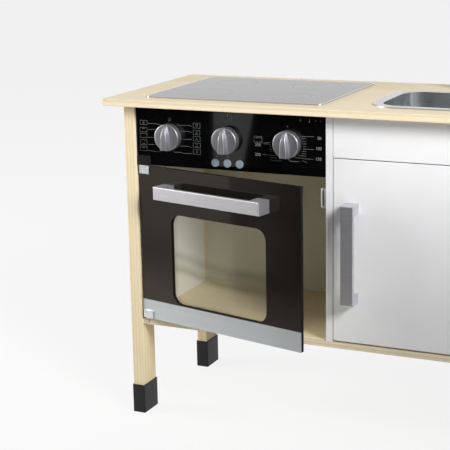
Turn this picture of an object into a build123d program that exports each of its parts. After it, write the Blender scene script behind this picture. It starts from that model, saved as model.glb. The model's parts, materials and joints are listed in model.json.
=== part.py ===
from build123d import *
import os

# A wooden play kitchen, in millimetres: X runs along its front, Y from front to back and Z up.
# While it is built, X is zero in the middle, Y at the front of the posts and Z on the floor.
# The oven door stands ajar, as it does at rest. It is built closed and turned about its pins.

# Frame
WORKTOP_WIDTH = 700.0
WORKTOP_DEPTH = 300.0
WORKTOP_THICKNESS = 10.0
WORKTOP_UNDERSIDE = 484.0
WORKTOP_CORNER = 3.0
SIDE_OVERHANG = 27.0
FRONT_OVERHANG = 18.0
POST_WIDTH = 17.5
POST_DEPTH = 40.0
FRAME_DEPTH = 266.0
BOARD_THICKNESS = 9.0
BASE_TOP = 154.0
FRONT_SETBACK = 4.0
DIVIDER_THICKNESS = 10.0
BACK_PANEL_FROM_REAR = 30.0
BACK_PANEL_THICKNESS = 4.0
RAIL_HEIGHT = 30.0
RAIL_THICKNESS = 12.0
BATTEN_SIZE = 12.0
CLEAT_LENGTH = 160.0
BOOT_WALL = 1.75
BOOT_HEIGHT = 45.0
BOOT_FLOOR = 3.0
DOWEL_RADIUS = 2.5
DOWEL_LENGTH = 24.0
EDGE_ROUND = 0.8
EDGE_BREAK = 0.4

# Fits
SHAFT_FIT = 0.05
PUSH_FIT = 0.02
BODY_GAP = 0.35

# Control panel, knobs and push buttons
PANEL_HEIGHT = 89.0
PANEL_THICKNESS = 5.0
KNOB_PITCH = 94.0
KNOB_MIDDLE_SHIFT = 1.4
KNOB_RADIUS = 19.6
KNOB_FRONT = 13.0
KNOB_BACK_GAP = 0.6
KNOB_EDGE = 1.1
GRIP_FOOT_HEIGHT = 10.0
GRIP_FOOT_HALF_WIDTH = 6.9
GRIP_FOOT_CREST = 5.0
GRIP_TIP_HEIGHT = 1.4
GRIP_TIP_HALF_WIDTH = 2.2
GRIP_TIP_CREST = 1.2
GRIP_ARCH = 5.5
GRIP_TAPER = 2.3
GRIP_STATIONS = (0.0, 0.3, 0.5, 0.65, 0.78, 0.88, 0.95, 1.0)
SPINDLE_RADIUS = 3.0
SPINDLE_IN_KNOB = 7.0
DETENT_RADIUS = 9.0
DETENT_THICKNESS = 3.5
DETENT_NOTCHES = 16
DETENT_NOTCH_RADIUS = 1.1
DETENT_PANEL_GAP = 0.6
LEAF_THICKNESS = 0.7
LEAF_WIDTH = 3.0
LEAF_REACH = 22.0
LEAF_FOOT = 8.0
LEAF_FOOT_HEIGHT = 4.0
BUTTON_RADIUS = 6.0
BUTTON_PITCH = 19.3
BUTTON_RISE = 10.1
BUTTON_PROUD = 1.5
BUTTON_HOLE_FIT = 0.1
BUTTON_FLANGE = 1.1
BUTTON_FLANGE_THICKNESS = 1.2
BUTTON_STEM_RADIUS = 2.0
BUTTON_STEM_LENGTH = 2.0
BUTTON_TRAVEL = 1.5
SWITCH_PLATE_THICKNESS = 2.0
SWITCH_PLATE_HEIGHT = 14.0
SWITCH_CONTACT_RADIUS = 3.0
SWITCH_CONTACT_HEIGHT = 0.7
SWITCH_POST_RADIUS = 2.5

# Oven door
DOOR_THICKNESS = 6.0
DOOR_CLOSED_FRONT = 2.2
DOOR_AJAR_DEG = 13.33
DOOR_SIDE_GAP = 3.05
DOOR_TOP_GAP = 1.0
DOOR_FOOT_GAP = 2.4
PIVOT_FROM_EDGE = 8.0
PIN_RADIUS = 1.5
PIN_IN_DOOR = 8.5
PIN_IN_BASE = 6.0
PIN_WASHER_RADIUS = 4.2
WINDOW_WIDTH = 174.0
WINDOW_BELOW_TOP = 68.5
WINDOW_HEIGHT = 138.1
WINDOW_CORNER = 17.0
PANE_THICKNESS = 1.5
PANE_LAP = 9.0
STRIP_HEIGHT = 29.6
STRIP_THICKNESS = 0.8
CLIP_WIDTH = 19.1
CLIP_HEIGHT = 12.4
CLIP_PLATE = 1.5
CLIP_FROM_EDGE = 1.6
BRACKET_HEIGHT = 13.9
BRACKET_WIDTH = 21.1
BRACKET_FROM_POST = 2.6
BRACKET_THICKNESS = 2.5
BRACKET_LUG = 0.65
BRACKET_CORNER = 2.5
STUD_RADIUS = 1.5
STUD_NUT_RADIUS = 3.5
STUD_NUT_THICKNESS = 2.0
STUD_REACH = 4.0

# Door handles
HANDLE_STAND_OFF = 25.0
HANDLE_BAR_THICKNESS = 5.0
HANDLE_EDGE = 1.2
OVEN_HANDLE_LENGTH = 193.5
OVEN_HANDLE_HEIGHT = 19.4
OVEN_HANDLE_FROM_EDGE = 48.0
OVEN_HANDLE_BELOW_TOP = 24.0
OVEN_HANDLE_BLOCK = 20.0
CUPBOARD_HANDLE_LENGTH = 143.5
CUPBOARD_HANDLE_WIDTH = 19.0
CUPBOARD_HANDLE_FROM_EDGE = 18.8
CUPBOARD_HANDLE_BLOCK = 14.0
SCREW_RADIUS = 1.5
SCREW_HEAD_RADIUS = 3.0
SCREW_HEAD_HEIGHT = 1.8
SCREW_IN_HANDLE = 9.0

# Magnetic catches
CATCH_WIDTH = 9.5
CATCH_DEPTH = 12.0
CATCH_HEIGHT = 27.7
CATCH_BELOW_DOOR_TOP = 16.4
MAGNET_WIDTH = 2.6
MAGNET_FROM_OUTSIDE = 2.1
MAGNET_HEIGHT = 21.6
MAGNET_DEPTH = 6.0
STRIKE_THICKNESS = 0.8
STRIKE_WIDTH = 9.0

# Cupboard below the sink
APRON_HEIGHT = 60.0
APRON_GAP = 1.0
CUPBOARD_DOOR_THICKNESS = 10.0
CUPBOARD_DOOR_TOP_GAP = 1.6
CUPBOARD_DOOR_FOOT_GAP = 2.4
CUPBOARD_DOOR_SIDE_GAP = 1.2
HINGE_GAP = 3.0
HINGE_LEAF = 1.2
HINGE_HEIGHT = 40.0
HINGE_FROM_DOOR_END = 28.0
HINGE_BARREL_RADIUS = 2.4
HINGE_BARREL_FRONT = 2.6
HINGE_PIN_RADIUS = 1.0
HINGE_KNUCKLE_GAP = 0.4
HINGE_LEAF_DEPTH = 13.0
HINGE_CLEAR = 0.25

# Hob plate
HOB_WIDTH = 280.0
HOB_DEPTH = 234.0
HOB_CORNER = 9.0
HOB_RIM = 3.0
HOB_THICKNESS = 2.2
HOB_GLASS_BED = 0.8

# Sink and tap
SINK_WIDTH = 192.0
SINK_CORNER = 30.0
SINK_DROP = 58.0
SINK_WALL = 1.6
SINK_FLANGE = 13.0
SINK_FRONT = 36.0
SINK_CUTOUT_FIT = 0.6
DRAIN_RADIUS = 14.0
STRAINER_HOLE_RADIUS = 1.4
STRAINER_HOLE_CIRCLE = 8.4
STRAINER_HOLES = 8
TAP_FROM_BACK_PANEL = 18.0
TAP_BASE_RADIUS = 12.0
TAP_BASE_HEIGHT = 34.0
TAP_FLANGE_RADIUS = 15.0
TAP_FLANGE_THICKNESS = 3.0
SINK_TAP_GAP = 8.4
TAP_SHANK_RADIUS = 6.0
TAP_NUT_RADIUS = 12.0
TAP_NUT_THICKNESS = 6.0
SPOUT_RADIUS = 5.5
SPOUT_COLLAR_RADIUS = 9.0
SPOUT_COLLAR_HEIGHT = 8.0
SPOUT_PIVOT_RADIUS = 4.0
SPOUT_PIVOT_DEPTH = 14.0
SPOUT_RISE = 62.0
SPOUT_BEND = 42.0
SPOUT_DROP = 14.0
LEVER_HEIGHT = 20.0
LEVER_PIN_RADIUS = 2.0
LEVER_PIN_LENGTH = 12.0
LEVER_HUB_RADIUS = 5.5
LEVER_HUB_LENGTH = 9.0
LEVER_LENGTH = 34.0
LEVER_RADIUS = 2.6

# Places that follow from the sizes
HALF_BODY = WORKTOP_WIDTH / 2 - SIDE_OVERHANG
INNER = HALF_BODY - POST_WIDTH
WORKTOP_TOP = WORKTOP_UNDERSIDE + WORKTOP_THICKNESS
BASE_UNDERSIDE = BASE_TOP - BOARD_THICKNESS
REAR_POST_FRONT = FRAME_DEPTH - POST_DEPTH
BACK_PANEL_FRONT = FRAME_DEPTH - BACK_PANEL_FROM_REAR
DIVIDER_HALF = DIVIDER_THICKNESS / 2
BAY_CENTRE = (INNER + DIVIDER_HALF) / 2
BACK_PANEL_BACK = BACK_PANEL_FRONT + BACK_PANEL_THICKNESS
PANEL_BOTTOM = WORKTOP_UNDERSIDE - PANEL_HEIGHT
PANEL_BACK = FRONT_SETBACK + PANEL_THICKNESS
KNOB_HEIGHT = PANEL_BOTTOM + PANEL_HEIGHT / 2
KNOB_PLACES = {
    "left": -BAY_CENTRE - KNOB_PITCH,
    "middle": -BAY_CENTRE - KNOB_MIDDLE_SHIFT,
    "right": -BAY_CENTRE + KNOB_PITCH,
}
DETENT_FRONT = PANEL_BACK + DETENT_PANEL_GAP
BUTTON_HEIGHT = PANEL_BOTTOM + BUTTON_RISE
FLANGE_FRONT = PANEL_BACK + BODY_GAP
STEM_END = FLANGE_FRONT + BUTTON_FLANGE_THICKNESS + BUTTON_STEM_LENGTH
SWITCH_PLATE_FRONT = STEM_END + BUTTON_TRAVEL + BODY_GAP + SWITCH_CONTACT_HEIGHT
DOOR_LEFT = -INNER + DOOR_SIDE_GAP
DOOR_RIGHT = -DIVIDER_HALF - DOOR_SIDE_GAP
DOOR_TOP = PANEL_BOTTOM - DOOR_TOP_GAP
DOOR_FOOT = BASE_TOP + DOOR_FOOT_GAP
DOOR_BACK = DOOR_CLOSED_FRONT + DOOR_THICKNESS
PIVOT_X = DOOR_LEFT + PIVOT_FROM_EDGE
PIVOT_Y = DOOR_CLOSED_FRONT + DOOR_THICKNESS / 2
APRON_BOTTOM = WORKTOP_UNDERSIDE - APRON_HEIGHT
CUPBOARD_TOP = APRON_BOTTOM - CUPBOARD_DOOR_TOP_GAP
CUPBOARD_FOOT = BASE_TOP + CUPBOARD_DOOR_FOOT_GAP
CUPBOARD_LEFT = DIVIDER_HALF + CUPBOARD_DOOR_SIDE_GAP
CUPBOARD_RIGHT = INNER - HINGE_GAP
CUPBOARD_BACK = FRONT_SETBACK + CUPBOARD_DOOR_THICKNESS
HINGE_X = INNER - HINGE_GAP / 2
HINGE_Y = -HINGE_BARREL_FRONT
TAP_TOP = WORKTOP_TOP + TAP_BASE_HEIGHT
TAP_BACK = BACK_PANEL_FRONT - TAP_FROM_BACK_PANEL
SINK_DEPTH = TAP_BACK - TAP_FLANGE_RADIUS - SINK_TAP_GAP - SINK_FLANGE - SINK_WALL - SINK_FRONT
SINK_CENTRE_Y = SINK_FRONT + SINK_DEPTH / 2
LOW = (Align.MIN, Align.MIN, Align.MIN)
ON_END = (Align.CENTER, Align.CENTER, Align.MIN)

parts = {}


def block(x, y, z):
    """A box between pairs of limits."""
    return Pos(x[0], y[0], z[0]) * Box(x[1] - x[0], y[1] - y[0], z[1] - z[0], align=LOW)


def rod_x(x, y, z, radius):
    """A round rod along X, between the two values of x."""
    return Pos(x[0], y, z) * Rot(0, 90, 0) * Cylinder(radius, x[1] - x[0], align=ON_END)


def rod_y(x, y, z, radius):
    """A round rod along Y, between the two values of y."""
    return Pos(x, y[0], z) * Rot(-90, 0, 0) * Cylinder(radius, y[1] - y[0], align=ON_END)


def rod_z(x, y, z, radius):
    """A round rod along Z, between the two values of z."""
    return Pos(x, y, z[0]) * Cylinder(radius, z[1] - z[0], align=ON_END)


def rounded_plate(x, y, z, radius):
    """A plate lying flat, with its four upright corners rounded."""
    plate = block(x, y, z)
    return fillet(plate.edges().filter_by(Axis.Z), radius)


def rounded_panel(x, y, z, radius):
    """A plate facing the front, with its four corners rounded."""
    panel = block(x, y, z)
    return fillet(panel.edges().filter_by(Axis.Y), radius)


def soften(shape):
    """Breaks every edge of a board a little, as sanding does."""
    return chamfer(shape.edges(), EDGE_BREAK)


def mirrored(shape):
    """The same piece on the other side of the middle."""
    return shape.mirror(Plane.YZ)


def make_posts():
    """Four square-cut posts, standing in their boots."""
    post = soften(block((-HALF_BODY, -INNER), (0, POST_DEPTH), (BOOT_FLOOR, WORKTOP_UNDERSIDE)))
    rear = Pos(0, REAR_POST_FRONT, 0) * post
    for place, shape in (("front", post), ("rear", rear)):
        parts["post_" + place + "_left"] = shape - dowels()
        parts["post_" + place + "_right"] = mirrored(shape) - dowels()


def make_boots():
    """Four plastic boots, open at the top and closed below."""
    x = (-HALF_BODY, -INNER)
    outer = rounded_plate(
        (x[0] - BOOT_WALL, x[1] + BOOT_WALL),
        (-BOOT_WALL, POST_DEPTH + BOOT_WALL),
        (0, BOOT_HEIGHT),
        BOOT_WALL,
    )
    boot = outer - block(x, (0, POST_DEPTH), (BOOT_FLOOR, BOOT_HEIGHT))
    left = [boot, Pos(0, REAR_POST_FRONT, 0) * boot]
    parts["leg_boots"] = left + [mirrored(b) for b in left]


def dowel_places():
    """Where the dowels that tie the boards to the posts lie: height and depth."""
    base = BASE_UNDERSIDE + BOARD_THICKNESS / 2
    front = POST_DEPTH / 2 + FRONT_SETBACK
    rear = REAR_POST_FRONT + POST_DEPTH / 2 - FRONT_SETBACK
    return [(y, base) for y in (front, rear)]


def dowels(radius=DOWEL_RADIUS + PUSH_FIT):
    """Dowels across the joints between the posts and the base board."""
    half = DOWEL_LENGTH / 2
    pieces = []
    for y, z in dowel_places():
        for x in (-INNER, INNER):
            pieces.append(rod_x((x - half, x + half), y, z, radius))
    return pieces


def make_boards():
    """The side boards, base board, divider, back panel and rear rail."""
    side = block(
        (-INNER - BOARD_THICKNESS, -INNER),
        (POST_DEPTH, REAR_POST_FRONT),
        (BASE_UNDERSIDE, WORKTOP_UNDERSIDE),
    )
    parts["side_board_left"] = side
    parts["side_board_right"] = mirrored(side)
    base = block(
        (-INNER, INNER),
        (FRONT_SETBACK, FRAME_DEPTH - FRONT_SETBACK),
        (BASE_UNDERSIDE, BASE_TOP),
    )
    pin_hole = rod_z(PIVOT_X, PIVOT_Y, (BASE_TOP - PIN_IN_BASE, BASE_TOP), PIN_RADIUS + PUSH_FIT)
    parts["base_board"] = base - dowels() - pin_hole
    parts["divider"] = block(
        (-DIVIDER_HALF, DIVIDER_HALF),
        (FRONT_SETBACK, BACK_PANEL_FRONT),
        (BASE_TOP, WORKTOP_UNDERSIDE),
    )
    parts["back_panel"] = block(
        (-INNER, INNER),
        (BACK_PANEL_FRONT, BACK_PANEL_BACK),
        (BASE_TOP, WORKTOP_UNDERSIDE),
    )
    parts["rear_rail"] = block(
        (-INNER, INNER),
        (BACK_PANEL_BACK, BACK_PANEL_BACK + RAIL_THICKNESS),
        (WORKTOP_UNDERSIDE - RAIL_HEIGHT, WORKTOP_UNDERSIDE),
    )
    parts["frame_dowels"] = dowels(DOWEL_RADIUS)


def make_battens():
    """Battens under the worktop: two cleats on the side boards, two behind the front panels."""
    z = (WORKTOP_UNDERSIDE - BATTEN_SIZE, WORKTOP_UNDERSIDE)
    cleat = block(
        (-INNER, -INNER + BATTEN_SIZE),
        (POST_DEPTH, POST_DEPTH + CLEAT_LENGTH),
        z,
    )
    parts["worktop_cleats"] = [cleat, mirrored(cleat)]
    panel_batten = block((-INNER, -DIVIDER_HALF), (PANEL_BACK, PANEL_BACK + BATTEN_SIZE), z)
    apron_back = FRONT_SETBACK + BOARD_THICKNESS
    apron_batten = block((DIVIDER_HALF, INNER), (apron_back, apron_back + BATTEN_SIZE), z)
    parts["front_battens"] = [panel_batten, apron_batten]


def make_worktop():
    """The worktop, with its cut-out for the sink and its hole for the tap."""
    top = rounded_plate(
        (-WORKTOP_WIDTH / 2, WORKTOP_WIDTH / 2),
        (-FRONT_OVERHANG, WORKTOP_DEPTH - FRONT_OVERHANG),
        (WORKTOP_UNDERSIDE, WORKTOP_TOP),
        WORKTOP_CORNER,
    )
    top = chamfer(top.faces().sort_by(Axis.Z)[-1].edges(), EDGE_BREAK)
    tap_hole = rod_z(
        BAY_CENTRE, TAP_BACK, (WORKTOP_UNDERSIDE, WORKTOP_TOP), TAP_SHANK_RADIUS + PUSH_FIT
    )
    parts["worktop"] = top - sink_shape(SINK_CUTOUT_FIT, WORKTOP_UNDERSIDE, WORKTOP_TOP) - tap_hole


def make_hob():
    """A metal tray with a raised rim, and the glass plate that lies in it."""
    half = HOB_WIDTH / 2
    middle = WORKTOP_DEPTH / 2 - FRONT_OVERHANG
    y = (middle - HOB_DEPTH / 2, middle + HOB_DEPTH / 2)
    tray = rounded_plate(
        (-BAY_CENTRE - half, -BAY_CENTRE + half),
        y,
        (WORKTOP_TOP, WORKTOP_TOP + HOB_THICKNESS),
        HOB_CORNER,
    )
    glass = rounded_plate(
        (-BAY_CENTRE - half + HOB_RIM, -BAY_CENTRE + half - HOB_RIM),
        (y[0] + HOB_RIM, y[1] - HOB_RIM),
        (WORKTOP_TOP + HOB_GLASS_BED, WORKTOP_TOP + HOB_THICKNESS),
        HOB_CORNER - HOB_RIM,
    )
    parts["hob_frame"] = tray - glass
    parts["hob_glass"] = glass


def bracket_x():
    """The two sides of the upper hinge bracket."""
    left = -INNER + BRACKET_FROM_POST
    return (left, left + BRACKET_WIDTH)


def stud_places():
    """The two studs that hold the upper hinge bracket to the control panel."""
    z = PANEL_BOTTOM + BRACKET_HEIGHT / 2
    x = bracket_x()
    return [(x[0] + BRACKET_WIDTH / 4, z), (x[1] - BRACKET_WIDTH / 4, z)]


def make_control_panel():
    """The panel, pierced for the knob spindles, the buttons and the bracket's studs."""
    panel = block(
        (-INNER, -DIVIDER_HALF),
        (FRONT_SETBACK, PANEL_BACK),
        (PANEL_BOTTOM, WORKTOP_UNDERSIDE),
    )
    through = (FRONT_SETBACK, PANEL_BACK)
    for x in KNOB_PLACES.values():
        panel -= rod_y(x, through, KNOB_HEIGHT, SPINDLE_RADIUS + SHAFT_FIT)
    for x in button_places():
        panel -= rod_y(x, through, BUTTON_HEIGHT, BUTTON_RADIUS + BUTTON_HOLE_FIT)
    for x, z in stud_places():
        panel -= rod_y(x, through, z, STUD_RADIUS + PUSH_FIT)
    parts["control_panel"] = panel


def grip_section(face, z, half, crest, height):
    """A slice across a knob's ridge: wide on the knob's face, narrower at its crest."""
    corners = [(-half, face), (half, face), (crest, face - height), (-crest, face - height)]
    return Pos(0, 0, z) * make_face(Polyline(*corners, close=True))


def eased(first, last, share, power):
    """A size that leaves its first value slowly and reaches its last at a share of one."""
    return first + (last - first) * share**power


def grip_ridge(face):
    """The ridge on a knob: high and wide at its foot, it narrows to its tip and falls to it in an arch."""
    tip = KNOB_RADIUS - KNOB_EDGE
    foot = -((tip**2 - GRIP_FOOT_HALF_WIDTH**2) ** 0.5)
    sections = [
        grip_section(
            face,
            eased(foot, tip, share, 1),
            eased(GRIP_FOOT_HALF_WIDTH, GRIP_TIP_HALF_WIDTH, share, GRIP_TAPER),
            eased(GRIP_FOOT_CREST, GRIP_TIP_CREST, share, GRIP_TAPER),
            eased(GRIP_FOOT_HEIGHT, GRIP_TIP_HEIGHT, share, GRIP_ARCH),
        )
        for share in GRIP_STATIONS
    ]
    return loft(sections, ruled=True)


def make_knobs():
    """Each knob with its spindle. The spindle carries a notched wheel behind the panel."""
    face = FRONT_SETBACK - KNOB_FRONT
    back = FRONT_SETBACK - KNOB_BACK_GAP
    bore_end = back - SPINDLE_IN_KNOB
    disc = chamfer(rod_y(0, (face, back), 0, KNOB_RADIUS).edges(), KNOB_EDGE)
    knob = disc + grip_ridge(face)
    knob -= rod_y(0, (bore_end, back), 0, SPINDLE_RADIUS + PUSH_FIT)
    wheel = rod_y(0, (DETENT_FRONT, DETENT_FRONT + DETENT_THICKNESS), 0, DETENT_RADIUS)
    notch = rod_y(
        DETENT_RADIUS, (DETENT_FRONT, DETENT_FRONT + DETENT_THICKNESS), 0, DETENT_NOTCH_RADIUS
    )
    for i in range(DETENT_NOTCHES):
        wheel -= Rot(0, 360 * i / DETENT_NOTCHES, 0) * notch
    spindle = rod_y(0, (bore_end, DETENT_FRONT + DETENT_THICKNESS), 0, SPINDLE_RADIUS) + wheel
    for name, x in KNOB_PLACES.items():
        parts["knob_" + name] = Pos(x, 0, KNOB_HEIGHT) * knob
        parts["knob_spindle_" + name] = Pos(x, 0, KNOB_HEIGHT) * spindle


def make_detent_springs():
    """A leaf over each notched wheel, standing on a foot on the back of the panel."""
    under = DETENT_RADIUS + BODY_GAP
    y = (DETENT_FRONT, DETENT_FRONT + LEAF_WIDTH)
    leaf = block((-LEAF_REACH, LEAF_FOOT), y, (under, under + LEAF_THICKNESS))
    foot_x = (-LEAF_REACH, -LEAF_REACH + LEAF_FOOT)
    foot = block(foot_x, (PANEL_BACK, y[1]), (under - LEAF_FOOT_HEIGHT, under))
    spring = leaf + foot
    parts["detent_springs"] = [Pos(x, 0, KNOB_HEIGHT) * spring for x in KNOB_PLACES.values()]


def button_places():
    """The three push buttons, below the middle knob."""
    return [KNOB_PLACES["middle"] + BUTTON_PITCH * i for i in (-1, 0, 1)]


def make_buttons():
    """Push buttons with a flange that stops them behind the panel, and a short stem."""
    flange_back = FLANGE_FRONT + BUTTON_FLANGE_THICKNESS
    cap = rod_y(0, (FRONT_SETBACK - BUTTON_PROUD, flange_back), 0, BUTTON_RADIUS)
    front = cap.faces().sort_by(Axis.Y)[0]
    cap = chamfer(front.edges(), EDGE_BREAK)
    button = cap + rod_y(0, (FLANGE_FRONT, flange_back), 0, BUTTON_RADIUS + BUTTON_FLANGE)
    button += rod_y(0, (flange_back, STEM_END), 0, BUTTON_STEM_RADIUS)
    for name, x in zip(("left", "middle", "right"), button_places()):
        parts["push_button_" + name] = Pos(x, 0, BUTTON_HEIGHT) * button


def make_switch_plate():
    """The plate behind the buttons, on two posts, with a contact for each stem."""
    plate_back = SWITCH_PLATE_FRONT + SWITCH_PLATE_THICKNESS
    xs = button_places()
    reach = BUTTON_RADIUS + BUTTON_FLANGE + 2 * SWITCH_POST_RADIUS
    ends = (xs[0] - reach, xs[-1] + reach)
    half = SWITCH_PLATE_HEIGHT / 2
    plate = block(
        (ends[0] - SWITCH_POST_RADIUS, ends[1] + SWITCH_POST_RADIUS),
        (SWITCH_PLATE_FRONT, plate_back),
        (BUTTON_HEIGHT - half, BUTTON_HEIGHT + half),
    )
    for x in ends:
        plate += rod_y(x, (PANEL_BACK, SWITCH_PLATE_FRONT), BUTTON_HEIGHT, SWITCH_POST_RADIUS)
    for x in xs:
        contact = (SWITCH_PLATE_FRONT - SWITCH_CONTACT_HEIGHT, SWITCH_PLATE_FRONT)
        plate += rod_y(x, contact, BUTTON_HEIGHT, SWITCH_CONTACT_RADIUS)
    parts["button_switch_plate"] = plate


def ajar(shape):
    """Turns a piece of the oven door from closed to where it stands at rest."""
    turned = Pos(PIVOT_X, PIVOT_Y, 0) * Rot(0, 0, -DOOR_AJAR_DEG) * Pos(-PIVOT_X, -PIVOT_Y, 0)
    if isinstance(shape, list):
        return [turned * piece for piece in shape]
    return turned * shape


def clip_zone(z):
    """The strip of door that a clip wraps, between two heights."""
    x = DOOR_LEFT + CLIP_FROM_EDGE
    return block((x, x + CLIP_WIDTH), (DOOR_CLOSED_FRONT - STRIP_THICKNESS, DOOR_BACK), z)


def clip(end, inward, front):
    """A bent clip round the top or bottom edge of the door, bored for the pin."""
    x = (DOOR_LEFT + CLIP_FROM_EDGE, DOOR_LEFT + CLIP_FROM_EDGE + CLIP_WIDTH)
    z = sorted((end, end + inward * CLIP_HEIGHT))
    web = sorted((end, end + inward * CLIP_PLATE))
    shape = block(x, (front - CLIP_PLATE, front), z)
    shape += block(x, (DOOR_BACK, DOOR_BACK + CLIP_PLATE), z)
    shape += block(x, (front, DOOR_BACK), web)
    return shape - rod_z(PIVOT_X, PIVOT_Y, web, PIN_RADIUS + SHAFT_FIT)


def window(y, grow, corner):
    """The window's outline as a solid, grown by a lap."""
    middle = (DOOR_LEFT + DOOR_RIGHT) / 2
    half = WINDOW_WIDTH / 2 + grow
    top = DOOR_TOP - WINDOW_BELOW_TOP + grow
    bottom = DOOR_TOP - WINDOW_BELOW_TOP - WINDOW_HEIGHT - grow
    return rounded_panel((middle - half, middle + half), y, (bottom, top), corner)


def oven_handle_x():
    """The two ends of the oven handle."""
    left = DOOR_LEFT + OVEN_HANDLE_FROM_EDGE
    return (left, left + OVEN_HANDLE_LENGTH)


def oven_handle_screw_places():
    """The middle of each end block of the oven handle: X and Z."""
    x = oven_handle_x()
    z = DOOR_TOP - OVEN_HANDLE_BELOW_TOP - OVEN_HANDLE_HEIGHT / 2
    half = OVEN_HANDLE_BLOCK / 2
    return [(x[0] + half, z), (x[1] - half, z)]


def screws(places, front, back, radius=SCREW_RADIUS, head=True):
    """Screws from the back of a door into a handle, with their heads on the door's back."""
    pieces = []
    for x, z in places:
        screw = rod_y(x, (front - SCREW_IN_HANDLE, back), z, radius)
        if head:
            screw += rod_y(x, (back, back + SCREW_HEAD_HEIGHT), z, SCREW_HEAD_RADIUS)
        pieces.append(screw)
    return pieces


def make_oven_door():
    """The dark door panel with its window, steel strip, pane, handle, clips and strike plate."""
    front = DOOR_CLOSED_FRONT
    panel = block((DOOR_LEFT, DOOR_RIGHT), (front, DOOR_BACK), (DOOR_FOOT, DOOR_TOP))
    panel -= window((front, DOOR_BACK), 0, WINDOW_CORNER)
    strip = block(
        (DOOR_LEFT, DOOR_RIGHT),
        (front - STRIP_THICKNESS, front),
        (DOOR_FOOT, DOOR_FOOT + STRIP_HEIGHT),
    )
    top_notch = clip_zone((DOOR_TOP - CLIP_PLATE, DOOR_TOP))
    foot_notch = clip_zone((DOOR_FOOT, DOOR_FOOT + CLIP_PLATE))
    bore = PIN_RADIUS + SHAFT_FIT
    deep = PIN_IN_DOOR + SHAFT_FIT
    panel -= [top_notch, foot_notch]
    panel -= rod_z(PIVOT_X, PIVOT_Y, (DOOR_TOP - deep, DOOR_TOP), bore)
    panel -= rod_z(PIVOT_X, PIVOT_Y, (DOOR_FOOT, DOOR_FOOT + deep), bore)
    places = oven_handle_screw_places()
    bores = screws(places, front, DOOR_BACK, SCREW_RADIUS + PUSH_FIT, head=False)
    parts["oven_door_panel"] = ajar(panel - bores)
    parts["oven_door_strip"] = ajar(strip - foot_notch)
    pane = window((DOOR_BACK, DOOR_BACK + PANE_THICKNESS), PANE_LAP, WINDOW_CORNER + PANE_LAP / 2)
    parts["oven_door_pane"] = ajar(pane)
    parts["oven_door_clip_upper"] = ajar(clip(DOOR_TOP, -1, front))
    parts["oven_door_clip_lower"] = ajar(clip(DOOR_FOOT, 1, front - STRIP_THICKNESS))
    parts["oven_handle"] = ajar(oven_handle(front) - bores)
    parts["oven_handle_screws"] = ajar(screws(places, front, DOOR_BACK))
    strike = block(
        (DOOR_RIGHT - STRIKE_WIDTH, DOOR_RIGHT),
        (DOOR_BACK, DOOR_BACK + STRIKE_THICKNESS),
        catch_z(DOOR_TOP),
    )
    parts["oven_strike_plate"] = ajar(strike)


def oven_handle(front):
    """A square bar across the door on two deep end blocks."""
    x = oven_handle_x()
    top = DOOR_TOP - OVEN_HANDLE_BELOW_TOP
    z = (top - OVEN_HANDLE_HEIGHT, top)
    bar = block(x, (front - HANDLE_STAND_OFF, front), z)
    bar = fillet(bar.faces().sort_by(Axis.Y)[0].edges(), HANDLE_EDGE)
    gap = block(
        (x[0] + OVEN_HANDLE_BLOCK, x[1] - OVEN_HANDLE_BLOCK),
        (front - HANDLE_STAND_OFF + HANDLE_BAR_THICKNESS, front),
        z,
    )
    return bar - gap


def make_oven_pivots():
    """The bracket above the door, the two pins, and the washer the door stands on."""
    front = FRONT_SETBACK
    x = bracket_x()
    plate = rounded_panel(
        x,
        (front - BRACKET_THICKNESS, front),
        (PANEL_BOTTOM - BRACKET_LUG, PANEL_BOTTOM + BRACKET_HEIGHT),
        BRACKET_CORNER,
    )
    plate += block(
        x,
        (front - BRACKET_THICKNESS, front),
        (PANEL_BOTTOM - BRACKET_LUG, PANEL_BOTTOM + BRACKET_HEIGHT / 2),
    )
    lug = block(x, (front, PANEL_BACK), (PANEL_BOTTOM - BRACKET_LUG, PANEL_BOTTOM))
    bracket = plate + lug
    for sx, sz in stud_places():
        bracket += rod_y(sx, (front, PANEL_BACK + STUD_REACH), sz, STUD_RADIUS)
    pin_hole = (PANEL_BOTTOM - BRACKET_LUG, PANEL_BOTTOM)
    parts["oven_hinge_bracket"] = bracket - rod_z(PIVOT_X, PIVOT_Y, pin_hole, PIN_RADIUS + PUSH_FIT)
    nut_y = (PANEL_BACK, PANEL_BACK + STUD_NUT_THICKNESS)
    parts["bracket_nuts"] = [
        rod_y(sx, nut_y, sz, STUD_NUT_RADIUS) - rod_y(sx, nut_y, sz, STUD_RADIUS + PUSH_FIT)
        for sx, sz in stud_places()
    ]
    parts["oven_pivot_pins"] = [
        rod_z(PIVOT_X, PIVOT_Y, (DOOR_TOP - PIN_IN_DOOR, PANEL_BOTTOM), PIN_RADIUS),
        rod_z(PIVOT_X, PIVOT_Y, (BASE_TOP - PIN_IN_BASE, DOOR_FOOT + PIN_IN_DOOR), PIN_RADIUS),
    ]
    washer_z = (BASE_TOP, DOOR_FOOT - BODY_GAP)
    washer = rod_z(PIVOT_X, PIVOT_Y, washer_z, PIN_WASHER_RADIUS)
    parts["oven_pivot_washer"] = washer - rod_z(PIVOT_X, PIVOT_Y, washer_z, PIN_RADIUS + PUSH_FIT)


def catch_z(door_top):
    """The heights between which a catch and its strike plate lie."""
    top = door_top - CATCH_BELOW_DOOR_TOP
    return (top - CATCH_HEIGHT, top)


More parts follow.
